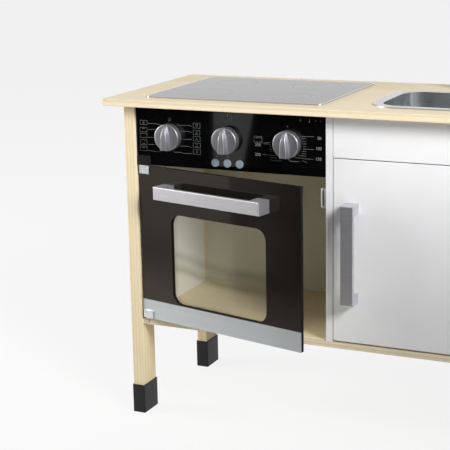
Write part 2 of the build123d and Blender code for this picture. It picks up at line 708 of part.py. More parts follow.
def catch(front, door_top, side):
    """A catch case on the divider and the magnet in its open front."""
    z = catch_z(door_top)
    inner = side * DIVIDER_HALF
    outer = side * (DIVIDER_HALF + CATCH_WIDTH)
    case = block(sorted((inner, outer)), (front, front + CATCH_DEPTH), z)
    outer_edges = case.edges().filter_by(Axis.Y).sort_by(lambda e: -abs(e.center().X))[:2]
    case = fillet(outer_edges, EDGE_ROUND)
    magnet_out = outer - side * MAGNET_FROM_OUTSIDE
    centre = (z[0] + z[1]) / 2
    magnet = block(
        sorted((magnet_out, magnet_out - side * MAGNET_WIDTH)),
        (front, front + MAGNET_DEPTH),
        (centre - MAGNET_HEIGHT / 2, centre + MAGNET_HEIGHT / 2),
    )
    return case - magnet, magnet


def make_catches():
    """One catch for each door, one on each side of the divider."""
    gap = STRIKE_THICKNESS + BODY_GAP
    oven_case, oven_magnet = catch(DOOR_BACK + gap, DOOR_TOP, -1)
    cup_case, cup_magnet = catch(CUPBOARD_BACK + gap, CUPBOARD_TOP, 1)
    parts["catch_cases"] = [oven_case, cup_case]
    parts["catch_magnets"] = [oven_magnet, cup_magnet]


def cupboard_handle_z():
    """The two ends of the upright handle, about the middle of the cupboard door."""
    middle = (CUPBOARD_TOP + CUPBOARD_FOOT) / 2
    half = CUPBOARD_HANDLE_LENGTH / 2
    return (middle - half, middle + half)


def cupboard_handle_x():
    """The two sides of the cupboard handle."""
    left = CUPBOARD_LEFT + CUPBOARD_HANDLE_FROM_EDGE
    return (left, left + CUPBOARD_HANDLE_WIDTH)


def cupboard_handle(front):
    """An upright bar on two deep end blocks."""
    x = cupboard_handle_x()
    z = cupboard_handle_z()
    bar = block(x, (front - HANDLE_STAND_OFF, front), z)
    bar = fillet(bar.faces().sort_by(Axis.Y)[0].edges(), HANDLE_EDGE)
    gap = block(
        x,
        (front - HANDLE_STAND_OFF + HANDLE_BAR_THICKNESS, front),
        (z[0] + CUPBOARD_HANDLE_BLOCK, z[1] - CUPBOARD_HANDLE_BLOCK),
    )
    return bar - gap


def hinge_leaf_x(fixed):
    """Where a hinge leaf lies: the fixed one on the post, the other on the door's edge."""
    if fixed:
        return (INNER - HINGE_LEAF, INNER)
    return (CUPBOARD_RIGHT, CUPBOARD_RIGHT + HINGE_LEAF)


def hinge_side(centre, fixed):
    """One side of a butt hinge. The fixed side has the outer knuckles, the door side the middle one."""
    low = centre - HINGE_HEIGHT / 2
    third = HINGE_HEIGHT / 3
    gap = HINGE_KNUCKLE_GAP / 2
    x = hinge_leaf_x(fixed)
    behind = HINGE_Y + HINGE_BARREL_RADIUS + HINGE_CLEAR
    leaf_back = FRONT_SETBACK + HINGE_LEAF_DEPTH
    if not fixed:
        leaf_back = min(leaf_back, CUPBOARD_BACK)
    side = block(x, (behind, leaf_back), (low, low + HINGE_HEIGHT))
    own = [0, 2] if fixed else [1]
    for i in own:
        z = (low + third * i + gap, low + third * (i + 1) - gap)
        side += rod_z(HINGE_X, HINGE_Y, z, HINGE_BARREL_RADIUS)
        side += block(x, (HINGE_Y, behind), z)
    bore = rod_z(HINGE_X, HINGE_Y, (low, low + HINGE_HEIGHT), HINGE_PIN_RADIUS + SHAFT_FIT)
    return side - bore


def hinge_heights():
    """The middle of each of the two hinges."""
    inset = HINGE_FROM_DOOR_END + HINGE_HEIGHT / 2
    return [CUPBOARD_FOOT + inset, CUPBOARD_TOP - inset]


def make_hinges():
    """Two butt hinges with their barrels in front of the joint, and their pins."""
    half = HINGE_HEIGHT / 2
    parts["hinge_post_leaves"] = [hinge_side(z, True) for z in hinge_heights()]
    parts["hinge_door_leaves"] = [hinge_side(z, False) for z in hinge_heights()]
    parts["hinge_pins"] = [
        rod_z(HINGE_X, HINGE_Y, (z - half, z + half), HINGE_PIN_RADIUS) for z in hinge_heights()
    ]


def make_cupboard_front():
    """The fixed apron in front of the sink, and the door below it with its handle."""
    front = FRONT_SETBACK
    parts["sink_apron"] = block(
        (DIVIDER_HALF + APRON_GAP, INNER),
        (front, front + BOARD_THICKNESS),
        (APRON_BOTTOM, WORKTOP_UNDERSIDE),
    )
    x = cupboard_handle_x()
    z = cupboard_handle_z()
    middle = (x[0] + x[1]) / 2
    half = CUPBOARD_HANDLE_BLOCK / 2
    places = [(middle, z[0] + half), (middle, z[1] - half)]
    bores = screws(places, front, CUPBOARD_BACK, SCREW_RADIUS + PUSH_FIT, head=False)
    door = block((CUPBOARD_LEFT, CUPBOARD_RIGHT), (front, CUPBOARD_BACK), (CUPBOARD_FOOT, CUPBOARD_TOP))
    parts["cupboard_door_panel"] = soften(door) - bores
    parts["cupboard_handle"] = cupboard_handle(front) - bores
    parts["cupboard_handle_screws"] = screws(places, front, CUPBOARD_BACK)
    parts["cupboard_strike_plate"] = block(
        (CUPBOARD_LEFT, CUPBOARD_LEFT + STRIKE_WIDTH),
        (CUPBOARD_BACK, CUPBOARD_BACK + STRIKE_THICKNESS),
        catch_z(CUPBOARD_TOP),
    )


def sink_shape(grow, low, high):
    """The basin's inside as a solid, grown all round by a wall."""
    half_x = SINK_WIDTH / 2 + SINK_WALL + grow
    half_y = SINK_DEPTH / 2 + SINK_WALL + grow
    return rounded_plate(
        (BAY_CENTRE - half_x, BAY_CENTRE + half_x),
        (SINK_CENTRE_Y - half_y, SINK_CENTRE_Y + half_y),
        (low, high),
        SINK_CORNER + SINK_WALL + grow,
    )


def make_sink():
    """A pressed basin with a flange on the worktop, a drain hole and a strainer in it."""
    inside_floor = WORKTOP_TOP - SINK_DROP
    top = WORKTOP_TOP + SINK_WALL
    bowl = sink_shape(0, inside_floor - SINK_WALL, WORKTOP_TOP)
    bowl += sink_shape(SINK_FLANGE, WORKTOP_TOP, top)
    bowl -= sink_shape(-SINK_WALL, inside_floor, top)
    floor_z = (inside_floor - SINK_WALL, inside_floor)
    bowl -= rod_z(BAY_CENTRE, SINK_CENTRE_Y, floor_z, DRAIN_RADIUS)
    parts["sink_bowl"] = bowl
    strainer = rod_z(BAY_CENTRE, SINK_CENTRE_Y, floor_z, DRAIN_RADIUS - PUSH_FIT)
    lip_z = (inside_floor, inside_floor + SINK_WALL / 2)
    strainer += rod_z(BAY_CENTRE, SINK_CENTRE_Y, lip_z, DRAIN_RADIUS + SINK_WALL)
    hole = rod_z(STRAINER_HOLE_CIRCLE, 0, (floor_z[0], lip_z[1]), STRAINER_HOLE_RADIUS)
    for i in range(STRAINER_HOLES):
        strainer -= Pos(BAY_CENTRE, SINK_CENTRE_Y, 0) * Rot(0, 0, 360 * i / STRAINER_HOLES) * hole
    parts["sink_strainer"] = strainer


def make_tap():
    """The tap: a base through the worktop with its nut, a spout that swivels and a side lever."""
    flange_z = (WORKTOP_TOP, WORKTOP_TOP + TAP_FLANGE_THICKNESS)
    nut_z = (WORKTOP_UNDERSIDE - TAP_NUT_THICKNESS, WORKTOP_UNDERSIDE)
    base = rod_z(0, 0, (WORKTOP_TOP, TAP_TOP), TAP_BASE_RADIUS)
    base = chamfer(base.faces().sort_by(Axis.Z)[-1].edges(), EDGE_ROUND)
    base += rod_z(0, 0, flange_z, TAP_FLANGE_RADIUS)
    base += rod_z(0, 0, (nut_z[0] - TAP_FLANGE_THICKNESS, WORKTOP_TOP), TAP_SHANK_RADIUS)
    base -= rod_z(0, 0, (TAP_TOP - SPOUT_PIVOT_DEPTH - BODY_GAP, TAP_TOP), SPOUT_PIVOT_RADIUS + SHAFT_FIT)
    lever_z = WORKTOP_TOP + LEVER_HEIGHT
    pin_end = TAP_BASE_RADIUS + LEVER_PIN_LENGTH
    pin_root = (SPOUT_PIVOT_RADIUS + TAP_BASE_RADIUS) / 2
    base += rod_x((pin_root, pin_end), 0, lever_z, LEVER_PIN_RADIUS)
    place = Pos(BAY_CENTRE, TAP_BACK, 0)
    parts["tap_base"] = place * base
    nut = rod_z(0, 0, nut_z, TAP_NUT_RADIUS) - rod_z(0, 0, nut_z, TAP_SHANK_RADIUS + PUSH_FIT)
    parts["tap_nut"] = place * nut
    parts["tap_spout"] = place * spout()
    parts["tap_lever"] = place * tap_lever(lever_z, pin_end)


def spout():
    """A collar on the base with a pivot below it, and a bent tube that ends over the basin."""
    low = TAP_TOP + BODY_GAP
    collar_top = low + SPOUT_COLLAR_HEIGHT
    shape = rod_z(0, 0, (low, collar_top), SPOUT_COLLAR_RADIUS)
    shape = chamfer(shape.faces().sort_by(Axis.Z)[-1].edges(), EDGE_ROUND)
    shape += rod_z(0, 0, (TAP_TOP - SPOUT_PIVOT_DEPTH, low), SPOUT_PIVOT_RADIUS)
    bend_z = collar_top + SPOUT_RISE
    shape += rod_z(0, 0, (collar_top, bend_z), SPOUT_RADIUS)
    circle = Plane.XY * Circle(SPOUT_RADIUS)
    pivot = Axis((0, -SPOUT_BEND, 0), (1, 0, 0))
    shape += Pos(0, 0, bend_z) * revolve(circle, pivot, 180)
    outlet = rod_z(0, -2 * SPOUT_BEND, (bend_z - SPOUT_DROP, bend_z), SPOUT_RADIUS)
    mouth = rod_z(
        0, -2 * SPOUT_BEND, (bend_z - SPOUT_DROP, bend_z - SPOUT_DROP / 2), SPOUT_RADIUS - SINK_WALL
    )
    return shape + outlet - mouth


def tap_lever(lever_z, pin_end):
    """A hub on the side pin, with a round lever standing up from it."""
    x = (TAP_BASE_RADIUS + BODY_GAP, TAP_BASE_RADIUS + BODY_GAP + LEVER_HUB_LENGTH)
    lever = rod_x(x, 0, lever_z, LEVER_HUB_RADIUS)
    lever += rod_z((x[0] + x[1]) / 2, 0, (lever_z, lever_z + LEVER_LENGTH), LEVER_RADIUS)
    return lever - rod_x((TAP_BASE_RADIUS, pin_end), 0, lever_z, LEVER_PIN_RADIUS + SHAFT_FIT)


make_posts()
make_boots()
make_boards()
make_battens()
make_worktop()
make_hob()
make_control_panel()
make_knobs()
make_detent_springs()
make_buttons()
make_switch_plate()
make_oven_door()
make_oven_pivots()
make_catches()
make_hinges()
make_cupboard_front()
make_sink()
make_tap()

# The origin is put under the middle of the whole object's box, on the floor.
shapes = {}
for name, shape in parts.items():
    shapes[name] = Compound(shape) if isinstance(shape, list) else shape
box = Compound(list(shapes.values())).bounding_box()
shift = (-(box.min.X + box.max.X) / 2, -(box.min.Y + box.max.Y) / 2, -box.min.Z)
os.makedirs("parts", exist_ok=True)
for name, shape in shapes.items():
    export_step(shape.moved(Location(shift)), "parts/" + name + ".step")
print("shift", [round(v, 4) for v in shift], "pivot", round(PIVOT_X, 4), round(PIVOT_Y, 4))
print(len(shapes), "nodes, box", box.size)
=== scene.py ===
import json
import math

import bmesh
import bpy
from mathutils import Matrix, Vector

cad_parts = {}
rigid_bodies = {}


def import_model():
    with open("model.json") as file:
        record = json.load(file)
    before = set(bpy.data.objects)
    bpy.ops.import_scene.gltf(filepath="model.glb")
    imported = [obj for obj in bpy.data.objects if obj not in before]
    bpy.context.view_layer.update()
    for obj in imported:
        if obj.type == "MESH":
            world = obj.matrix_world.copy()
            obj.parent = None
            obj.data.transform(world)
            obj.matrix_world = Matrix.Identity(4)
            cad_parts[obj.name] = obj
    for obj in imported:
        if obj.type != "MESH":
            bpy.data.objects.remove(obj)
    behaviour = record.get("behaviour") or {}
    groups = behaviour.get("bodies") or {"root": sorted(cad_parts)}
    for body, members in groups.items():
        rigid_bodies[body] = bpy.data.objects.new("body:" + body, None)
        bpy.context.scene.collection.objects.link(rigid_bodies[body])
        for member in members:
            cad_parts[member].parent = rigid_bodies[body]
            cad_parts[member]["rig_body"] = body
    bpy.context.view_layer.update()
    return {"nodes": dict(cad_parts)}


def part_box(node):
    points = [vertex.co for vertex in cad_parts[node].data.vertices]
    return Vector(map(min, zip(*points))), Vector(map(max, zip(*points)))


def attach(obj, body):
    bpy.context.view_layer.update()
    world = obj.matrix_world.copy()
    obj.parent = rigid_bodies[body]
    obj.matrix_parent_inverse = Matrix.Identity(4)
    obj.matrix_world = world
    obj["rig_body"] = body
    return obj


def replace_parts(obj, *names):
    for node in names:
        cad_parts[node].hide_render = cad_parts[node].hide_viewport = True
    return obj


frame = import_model()

MM = 0.001
DOOR_TURN = math.radians(13.33)  # the oven door stands ajar by this angle


def shade(code):
    """An sRGB hex colour as linear values."""
    parts = [int(code[i : i + 2], 16) / 255 for i in (1, 3, 5)]
    return tuple(c / 12.92 if c <= 0.04045 else ((c + 0.055) / 1.055) ** 2.4 for c in parts) + (1.0,)


def add(tree, kind, settings=None, inputs=None):
    """Adds one node. Settings are its own properties; inputs are plain values, or sockets to link from."""
    made = tree.nodes.new(kind)
    for name, value in (settings or {}).items():
        setattr(made, name, value)
    for name, value in (inputs or {}).items():
        if isinstance(value, bpy.types.NodeSocket):
            tree.links.new(value, made.inputs[name])
        else:
            made.inputs[name].default_value = value
    return made


def ramp(tree, factor, stops):
    """A colour ramp with its stops as (position, colour) pairs."""
    made = add(tree, "ShaderNodeValToRGB", inputs={"Fac": factor})
    band = made.color_ramp.elements
    while len(band) < len(stops):
        band.new(0.5)
    for element, (position, colour) in zip(band, stops):
        element.position = position
        element.color = colour
    return made.outputs["Color"]


def blank(name, **surface):
    """A new material with one Principled shader, and its tree."""
    material = bpy.data.materials.new(name)
    material.use_nodes = True
    tree = material.node_tree
    tree.nodes.clear()
    shader = add(tree, "ShaderNodeBsdfPrincipled", inputs=surface)
    add(tree, "ShaderNodeOutputMaterial", inputs={"Surface": shader.outputs["BSDF"]})
    return material, tree, shader


def stretched(tree, scale, turn=(0.0, 0.0, 0.0), place=(0.0, 0.0, 0.0)):
    """Object coordinates in metres, turned and then stretched to the pattern's own scale."""
    where = add(tree, "ShaderNodeTexCoord").outputs["Object"]
    turned = add(tree, "ShaderNodeMapping", inputs={"Vector": where, "Location": place, "Rotation": turn})
    return add(
        tree, "ShaderNodeMapping", inputs={"Vector": turned.outputs["Vector"], "Scale": scale}
    ).outputs["Vector"]


def mottle(tree, vector, scale, detail=3.0, roughness=0.55):
    """Fractal noise from 0 to 1."""
    return add(
        tree,
        "ShaderNodeTexNoise",
        inputs={"Vector": vector, "Scale": scale, "Detail": detail, "Roughness": roughness},
    ).outputs["Fac"]


def spread(tree, value, low, high):
    """Maps the middle of a noise to the range from low to high."""
    return add(
        tree,
        "ShaderNodeMapRange",
        inputs={"Value": value, "From Min": 0.3, "From Max": 0.7, "To Min": low, "To Max": high},
    ).outputs["Result"]


def blended(tree, factor, first, second):
    """Mixes two colours."""
    return add(
        tree, "ShaderNodeMix", {"data_type": "RGBA"}, {0: factor, 6: first, 7: second}
    ).outputs[2]


def relief(tree, shader, height, distance, strength=1.0):
    """A bump from a height pattern, its depth in metres."""
    bump = add(
        tree, "ShaderNodeBump", inputs={"Height": height, "Distance": distance, "Strength": strength}
    )
    tree.links.new(bump.outputs["Normal"], shader.inputs["Normal"])


# Turns that bring a board's length to the pattern's X.
ALONG = {"x": (0.0, 0.0, 0.0), "y": (0.0, 0.0, -math.pi / 2), "z": (0.0, math.pi / 2, 0.0)}


def pine(name, along, pith, pale, warm, stave=0.0):
    """Pine under a thin clear lacquer: pale early wood, with soft and warmer growth lines every 4 mm."""
    material, tree, wood = blank(name, Roughness=0.42, IOR=1.5, **{"Specular IOR Level": 0.4})
    turn = ALONG[along]
    length = stretched(tree, (0.05, 1.0, 1.0), turn, pith)
    rings = add(
        tree,
        "ShaderNodeTexWave",
        {"wave_type": "RINGS", "rings_direction": "X", "wave_profile": "SIN"},
        {"Vector": length, "Scale": 68.0, "Distortion": 2.6, "Detail": 2.0, "Detail Scale": 0.35},
    ).outputs["Fac"]
    late = ramp(tree, rings, [(0.0, (0, 0, 0, 1)), (0.5, (0.12, 0.12, 0.12, 1)), (0.9, (0.5, 0.5, 0.5, 1))])
    drift = mottle(tree, stretched(tree, (2.2, 46.0, 46.0), turn), 1.0, 3.0)
    fibre = mottle(tree, stretched(tree, (26.0, 900.0, 900.0), turn), 1.0, 2.0)
    tone = blended(tree, spread(tree, drift, 0.0, 0.75), pale, warm)
    lined = blended(tree, late, tone, shade("#DFC592"))
    fine = blended(tree, spread(tree, fibre, 0.0, 0.16), lined, shade("#E0C48F"))
    if stave:
        across = add(tree, "ShaderNodeSeparateXYZ", inputs={"Vector": stretched(tree, (1, 1, 1), turn)})
        count = add(tree, "ShaderNodeMath", {"operation": "DIVIDE"}, {0: across.outputs["Y"], 1: stave})
        whole = add(tree, "ShaderNodeMath", {"operation": "FLOOR"}, {0: count.outputs[0]})
        luck = add(tree, "ShaderNodeTexWhiteNoise", {"noise_dimensions": "1D"}, {"W": whole.outputs[0]})
        tint = add(
            tree,
            "ShaderNodeMapRange",
            inputs={"Value": luck.outputs["Value"], "To Min": 0.0, "To Max": 0.3},
        ).outputs["Result"]
        fine = blended(tree, tint, fine, shade("#D9BE88"))
    tree.links.new(fine, wood.inputs["Base Color"])
    relief(tree, wood, fibre, 0.05 * MM, 0.5)
    return material


def lacquered_board():
    """White lacquered fibreboard: even and slightly satin, with the soft orange peel of a rolled coat."""
    material, tree, coat = blank("white_lacquered_fibreboard", IOR=1.48)
    peel = mottle(tree, stretched(tree, (1, 1, 1)), 340.0, 2.0)
    cloud = mottle(tree, stretched(tree, (1, 1, 1)), 9.0, 2.0)
    tree.links.new(
        blended(tree, spread(tree, cloud, 0.0, 1.0), shade("#F1F1F3"), shade("#ECECED")),
        coat.inputs["Base Color"],
    )
    tree.links.new(spread(tree, cloud, 0.3, 0.4), coat.inputs["Roughness"])
    relief(tree, coat, peel, 0.03 * MM, 0.5)
    return material


def backing_board():
    """Thin hardboard painted a flat putty white on the room side: dull, a little warm and slightly uneven."""
    material, tree, board = blank("painted_hardboard", IOR=1.48, Roughness=0.6)
    fibre = mottle(tree, stretched(tree, (1, 1, 1)), 420.0, 3.0)
    cloud = mottle(tree, stretched(tree, (1, 1, 1)), 7.0, 2.0)
    tone = blended(tree, spread(tree, cloud, 0.0, 1.0), shade("#D6D4C2"), shade("#CFCDBA"))
    tree.links.new(
        blended(tree, spread(tree, fibre, 0.0, 0.12), tone, shade("#B9B59C")), board.inputs["Base Color"]
    )
    relief(tree, board, fibre, 0.05 * MM, 0.5)
    return material


def moulded(name, colour, second, rough, grain, depth, **more):
    """Injection-moulded ABS: one colour that drifts a little, over the fine sparked texture of the mould."""
    material, tree, plastic = blank(name, IOR=1.53, **more)
    spark = mottle(tree, stretched(tree, (1, 1, 1)), grain, 2.0)
    cloud = mottle(tree, stretched(tree, (1, 1, 1)), 45.0, 2.0)
    tree.links.new(blended(tree, spread(tree, cloud, 0.0, 1.0), colour, second), plastic.inputs["Base Color"])
    tree.links.new(spread(tree, spark, rough - 0.05, rough + 0.05), plastic.inputs["Roughness"])
    relief(tree, plastic, spark, depth * MM, 0.5)
    return material


def gloss_glass(name, colour, second):
    """A glossy sheet printed on its back: a deep, even colour under a mirror-like, faintly wavy front."""
    material, tree, glass = blank(name, IOR=1.5)
    wave = mottle(tree, stretched(tree, (1, 1, 1)), 11.0, 1.0)
    dust = mottle(tree, stretched(tree, (1, 1, 1)), 600.0, 2.0)
    tree.links.new(blended(tree, spread(tree, wave, 0.0, 1.0), colour, second), glass.inputs["Base Color"])
    tree.links.new(spread(tree, dust, 0.03, 0.07), glass.inputs["Roughness"])
    relief(tree, glass, wave, 0.02 * MM, 0.3)
    return material


def brushed(name, colour, second, rough, scratch, turn, metal=0.85, depth=0.02):
    """Brushed metal: fine parallel scratches that break the light into streaks along the part."""
    material, tree, sheet = blank(name, Metallic=metal)
    lines = mottle(tree, stretched(tree, scratch, turn), 1.0, 3.0, 0.7)
    cloud = mottle(tree, stretched(tree, (1, 1, 1)), 14.0, 2.0)
    streaked = blended(tree, spread(tree, lines, 0.0, 1.0), colour, second)
    tree.links.new(streaked, sheet.inputs["Base Color"])
    both = add(tree, "ShaderNodeMath", {"operation": "ADD"}, {0: lines, 1: cloud})
    half = add(tree, "ShaderNodeMath", {"operation": "MULTIPLY"}, {0: both.outputs[0], 1: 0.5})
    tree.links.new(spread(tree, half.outputs[0], rough - 0.06, rough + 0.06), sheet.inputs["Roughness"])
    relief(tree, sheet, lines, depth * MM, 0.5)
    return material


def plated(name, colour, second, rough, scale=120.0):
    """Plated steel: bright, with slight clouds in the plating."""
    material, tree, metal = blank(name, Metallic=1.0)
    cloud = mottle(tree, stretched(tree, (1, 1, 1)), scale, 3.0)
    tree.links.new(blended(tree, spread(tree, cloud, 0.0, 1.0), colour, second), metal.inputs["Base Color"])
    tree.links.new(spread(tree, cloud, rough * 0.8, rough * 1.25), metal.inputs["Roughness"])
    return material


def clear_acrylic():
    """Clear cast acrylic: see-through and faintly olive, with soft darker bands of painted shade in its
    colour, standing in for the wavy shadows that fall behind it.
    """
    material, tree, pane = blank(
        "clear_cast_acrylic",
        IOR=1.49,
        Roughness=0.0,
        **{"Transmission Weight": 1.0, "Specular IOR Level": 0.35},
    )
    place = stretched(tree, (1.0, 1.0, 1.0), DOOR_WAY)
    across = add(tree, "ShaderNodeSeparateXYZ", inputs={"Vector": place}).outputs
    slope = add(tree, "ShaderNodeMath", {"operation": "MULTIPLY"}, {0: across["X"], 1: SHADE_BAND_SLOPE}).outputs[0]
    level = add(tree, "ShaderNodeMath", {"operation": "ADD"}, {0: across["Z"], 1: slope}).outputs[0]
    wave = mottle(tree, stretched(tree, (13.0, 13.0, 5.0), DOOR_WAY), 1.0, 1.0)
    lift = spread(tree, wave, -SHADE_BAND_WAVE * MM, SHADE_BAND_WAVE * MM)
    height = add(tree, "ShaderNodeMath", {"operation": "ADD"}, {0: level, 1: lift}).outputs[0]
    share = add(
        tree,
        "ShaderNodeMapRange",
        inputs={"Value": height, "From Min": SHADE_BAND_LOW * MM, "From Max": SHADE_BAND_HIGH * MM},
    ).outputs["Result"]
    # The tint's darker bands are painted shade, laid into the pane's colour.
    tint = ramp(tree, share, [(at, shade(colour)) for at, colour in PAINTED_SHADE_BANDS])
    tree.links.new(tint, pane.inputs["Base Color"])
    clear = add(tree, "ShaderNodeBsdfTransparent", inputs={"Color": shade("#F0F0E6")})
    rays = add(tree, "ShaderNodeLightPath")
    both = add(
        tree,
        "ShaderNodeMixShader",
        inputs={0: rays.outputs["Is Shadow Ray"], 1: pane.outputs["BSDF"], 2: clear.outputs["BSDF"]},
    )
    out = next(n for n in tree.nodes if n.type == "OUTPUT_MATERIAL")
    tree.links.new(both.outputs["Shader"], out.inputs["Surface"])
    return material


PINE_FRONT = {"pale": shade("#F1E6CA"), "warm": shade("#E9D6AA")}
PINE_TOP = {"pale": shade("#F3E9D2"), "warm": shade("#EBDCB8")}
STAVE_WIDTH = 0.043  # the worktop is glued up from staves of this width in metres
UNTURNED = (0.0, 0.0, 0.0)
DOOR_WAY = (0.0, 0.0, DOOR_TURN)  # turns the oven door's width to the pattern's X
# Painted shade bands in the pane's colour: their slope along the door, their waviness and the heights that
# they lie between.
SHADE_BAND_SLOPE = 0.09
SHADE_BAND_WAVE = 5.0
SHADE_BAND_LOW = 185.0
SHADE_BAND_HIGH = 285.0
PAINTED_SHADE_BANDS = (
    (0.0, "#EEEEE2"),
    (0.28, "#EEEEE2"),
    (0.38, "#D2D2BE"),
    (0.5, "#E6E6DA"),
    (0.6, "#D8D9CC"),
    (0.72, "#EEEEE2"),
)
FINISH = {
    "pine_x": pine("lacquered_pine_board", "x", pith=(0.0, 0.21, -0.43), stave=STAVE_WIDTH, **PINE_TOP),
    "pine_y": pine("lacquered_pine_cleat", "y", pith=(0.0, 0.1, -0.3), **PINE_FRONT),
    "pine_z": pine("lacquered_pine_post", "z", pith=(0.0, 0.19, -0.16), **PINE_FRONT),
    "lacquer": lacquered_board(),
    "boot": moulded(
        "black_moulded_plastic",
        shade("#101011"),
        shade("#161617"),
        rough=0.5,
        grain=700.0,
        depth=0.06,
        **{"Specular IOR Level": 0.3},
    ),
    "knob": moulded(
        "silver_painted_abs",
        shade("#B4B4BA"),
        shade("#A6A6AC"),
        rough=0.42,
        grain=900.0,
        depth=0.05,
        Metallic=0.9,
    ),
    "inner": moulded(
        "white_moulded_plastic", shade("#E4E4E0"), shade("#DADAD6"), rough=0.42, grain=700.0, depth=0.03
    ),
    "button": moulded(
        "pale_blue_abs", shade("#929FA6"), shade("#8A979F"), rough=0.38, grain=800.0, depth=0.03
    ),
    "panel": gloss_glass("black_back_printed_acrylic", shade("#050505"), shade("#070707")),
    "door": gloss_glass("brown_black_back_printed_acrylic", shade("#1C1815"), shade("#1A1613")),
    "strip": brushed(
        "brushed_aluminium_strip",
        shade("#CDD6DA"),
        shade("#BEC8CD"),
        rough=0.38,
        scratch=(9.0, 9.0, 2600.0),
        turn=DOOR_WAY,
    ),
    "pane": clear_acrylic(),
    "sawn": moulded(
        "sawn_black_acrylic_edge",
        shade("#0A0A0A"),
        shade("#121211"),
        rough=0.6,
        grain=1500.0,
        depth=0.1,
        **{"Specular IOR Level": 0.1},
    ),
    "backing": backing_board(),
    "clip": plated("bright_nickel_plated_steel", shade("#DCE6EE"), shade("#D2DCE4"), rough=0.26),
    "bracket": plated("polished_nickel_plated_steel", shade("#E4E8EA"), shade("#DADEE0"), rough=0.1),
    "small": plated("zinc_plated_steel", shade("#B9BBBD"), shade("#A8A9AA"), rough=0.3, scale=400.0),
    "spring": plated("spring_steel", shade("#8F9194"), shade("#7F8184"), rough=0.25, scale=300.0),
    "handle": brushed(
        "satin_silver_handle",
        shade("#D6D7DC"),
        shade("#C9CAD0"),
        rough=0.42,
        scratch=(60.0, 60.0, 900.0),
        turn=DOOR_WAY,
    ),
    "magnet": moulded(
        "ferrite_magnet", shade("#77787B"), shade("#6A6B6F"), rough=0.6, grain=1200.0, depth=0.1
    ),
    "rim": brushed(
        "brushed_hob_rim",
        shade("#C9CACC"),
        shade("#BBBCBE"),
        rough=0.3,
        scratch=(12.0, 1500.0, 1500.0),
        turn=UNTURNED,
    ),
    "hob": gloss_glass("dark_hob_glass", shade("#2A2A30"), shade("#26262B")),
    "steel": brushed(
        "brushed_stainless_steel",
        shade("#C4C6C8"),
        shade("#B4B6B8"),
        rough=0.28,
        scratch=(14.0, 1400.0, 1400.0),
        turn=UNTURNED,
        metal=1.0,
    ),
    "chrome": plated("chrome_plated_brass", shade("#E3E5E7"), shade("#DCDEE0"), rough=0.07, scale=60.0),
    "film": gloss_glass("smoked_display_film", shade("#131314"), shade("#161617")),
    "faint_print": moulded(
        "grey_screen_print", shade("#4A4B4C"), shade("#434445"), rough=0.5, grain=900.0, depth=0.02
    ),
    "print": moulded(
        "white_screen_print", shade("#A6AAAC"), shade("#9CA0A2"), rough=0.5, grain=900.0, depth=0.02
    ),
}

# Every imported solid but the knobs, with its finish, and how far its edges are rounded in millimetres.
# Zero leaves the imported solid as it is.
DRESS = {
    "worktop": ("pine_x", 0.0),
    "post_front_left": ("pine_z", 0.0),
    "post_front_right": ("pine_z", 0.0),
    "post_rear_left": ("pine_z", 0.0),
    "post_rear_right": ("pine_z", 0.0),
    "base_board": ("pine_x", 0.0),
    "rear_rail": ("pine_x", 0.0),
    "worktop_cleats": ("pine_y", 0.0),
    "front_battens": ("pine_x", 0.0),
    "frame_dowels": ("pine_z", 0.0),
    "side_board_left": ("lacquer", 0.0),
    "side_board_right": ("lacquer", 0.0),
    "divider": ("lacquer", 0.0),
    "back_panel": ("backing", 0.0),
    "sink_apron": ("lacquer", 0.0),
    "cupboard_door_panel": ("lacquer", 0.0),
    "leg_boots": ("boot", 0.5),
    "control_panel": ("panel", 0.0),
    "knob_spindle_left": ("inner", 0.0),
    "knob_spindle_middle": ("inner", 0.0),
    "knob_spindle_right": ("inner", 0.0),
    "oven_pivot_washer": ("inner", 0.0),
    "catch_cases": ("inner", 0.4),
    "button_switch_plate": ("inner", 0.0),
    "detent_springs": ("spring", 0.0),
    "push_button_left": ("button", 0.4),
    "push_button_middle": ("button", 0.4),
    "push_button_right": ("button", 0.4),
    "oven_door_panel": ("door", 0.35),
    "oven_door_strip": ("strip", 0.0),
    "oven_door_pane": ("pane", 0.0),
    "oven_door_clip_upper": ("clip", 0.45),
    "oven_door_clip_lower": ("clip", 0.45),
    "oven_hinge_bracket": ("bracket", 1.15),
    "hinge_post_leaves": ("small", 0.0),
    "hinge_door_leaves": ("small", 0.0),
    "bracket_nuts": ("small", 0.0),
    "oven_pivot_pins": ("small", 0.0),
    "hinge_pins": ("small", 0.0),
    "oven_handle_screws": ("small", 0.0),
    "cupboard_handle_screws": ("small", 0.0),
    "oven_strike_plate": ("small", 0.0),
    "cupboard_strike_plate": ("small", 0.0),
    "oven_handle": ("handle", 0.0),
    "cupboard_handle": ("handle", 0.0),
    "catch_magnets": ("magnet", 0.0),
    "hob_frame": ("rim", 0.3),
    "hob_glass": ("hob", 0.0),
    "sink_bowl": ("steel", 0.0),
    "sink_strainer": ("steel", 0.0),
    "tap_base": ("chrome", 0.0),
    "tap_nut": ("small", 0.0),
    "tap_spout": ("chrome", 0.0),
    "tap_lever": ("chrome", 0.0),
}


MERGE_DISTANCE = 2e-6
FLAT_ANGLE = math.radians(0.6)  # sides that turn by less count as one flat side
SHARP_ANGLE = math.radians(35)
KNOB_SHARP_ANGLE = math.radians(40)
BEVEL_STEPS = 3


def body_with(node):
    """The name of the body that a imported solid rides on."""
    return frame["nodes"][node]["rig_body"]


def merged(node):
    """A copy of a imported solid's mesh, merged, with each flat side in one face."""
    shape = bmesh.new()
    shape.from_mesh(frame["nodes"][node].data)
    bmesh.ops.remove_doubles(shape, verts=shape.verts, dist=MERGE_DISTANCE)
    bmesh.ops.dissolve_limit(shape, angle_limit=FLAT_ANGLE, verts=shape.verts, edges=shape.edges)
    mesh = bpy.data.meshes.new(node + "_dressed")
    shape.to_mesh(mesh)
    shape.free()
    for spare in ("custom_normal", "UVMap"):
        if spare in mesh.attributes:
            mesh.attributes.remove(mesh.attributes[spare])
    return mesh


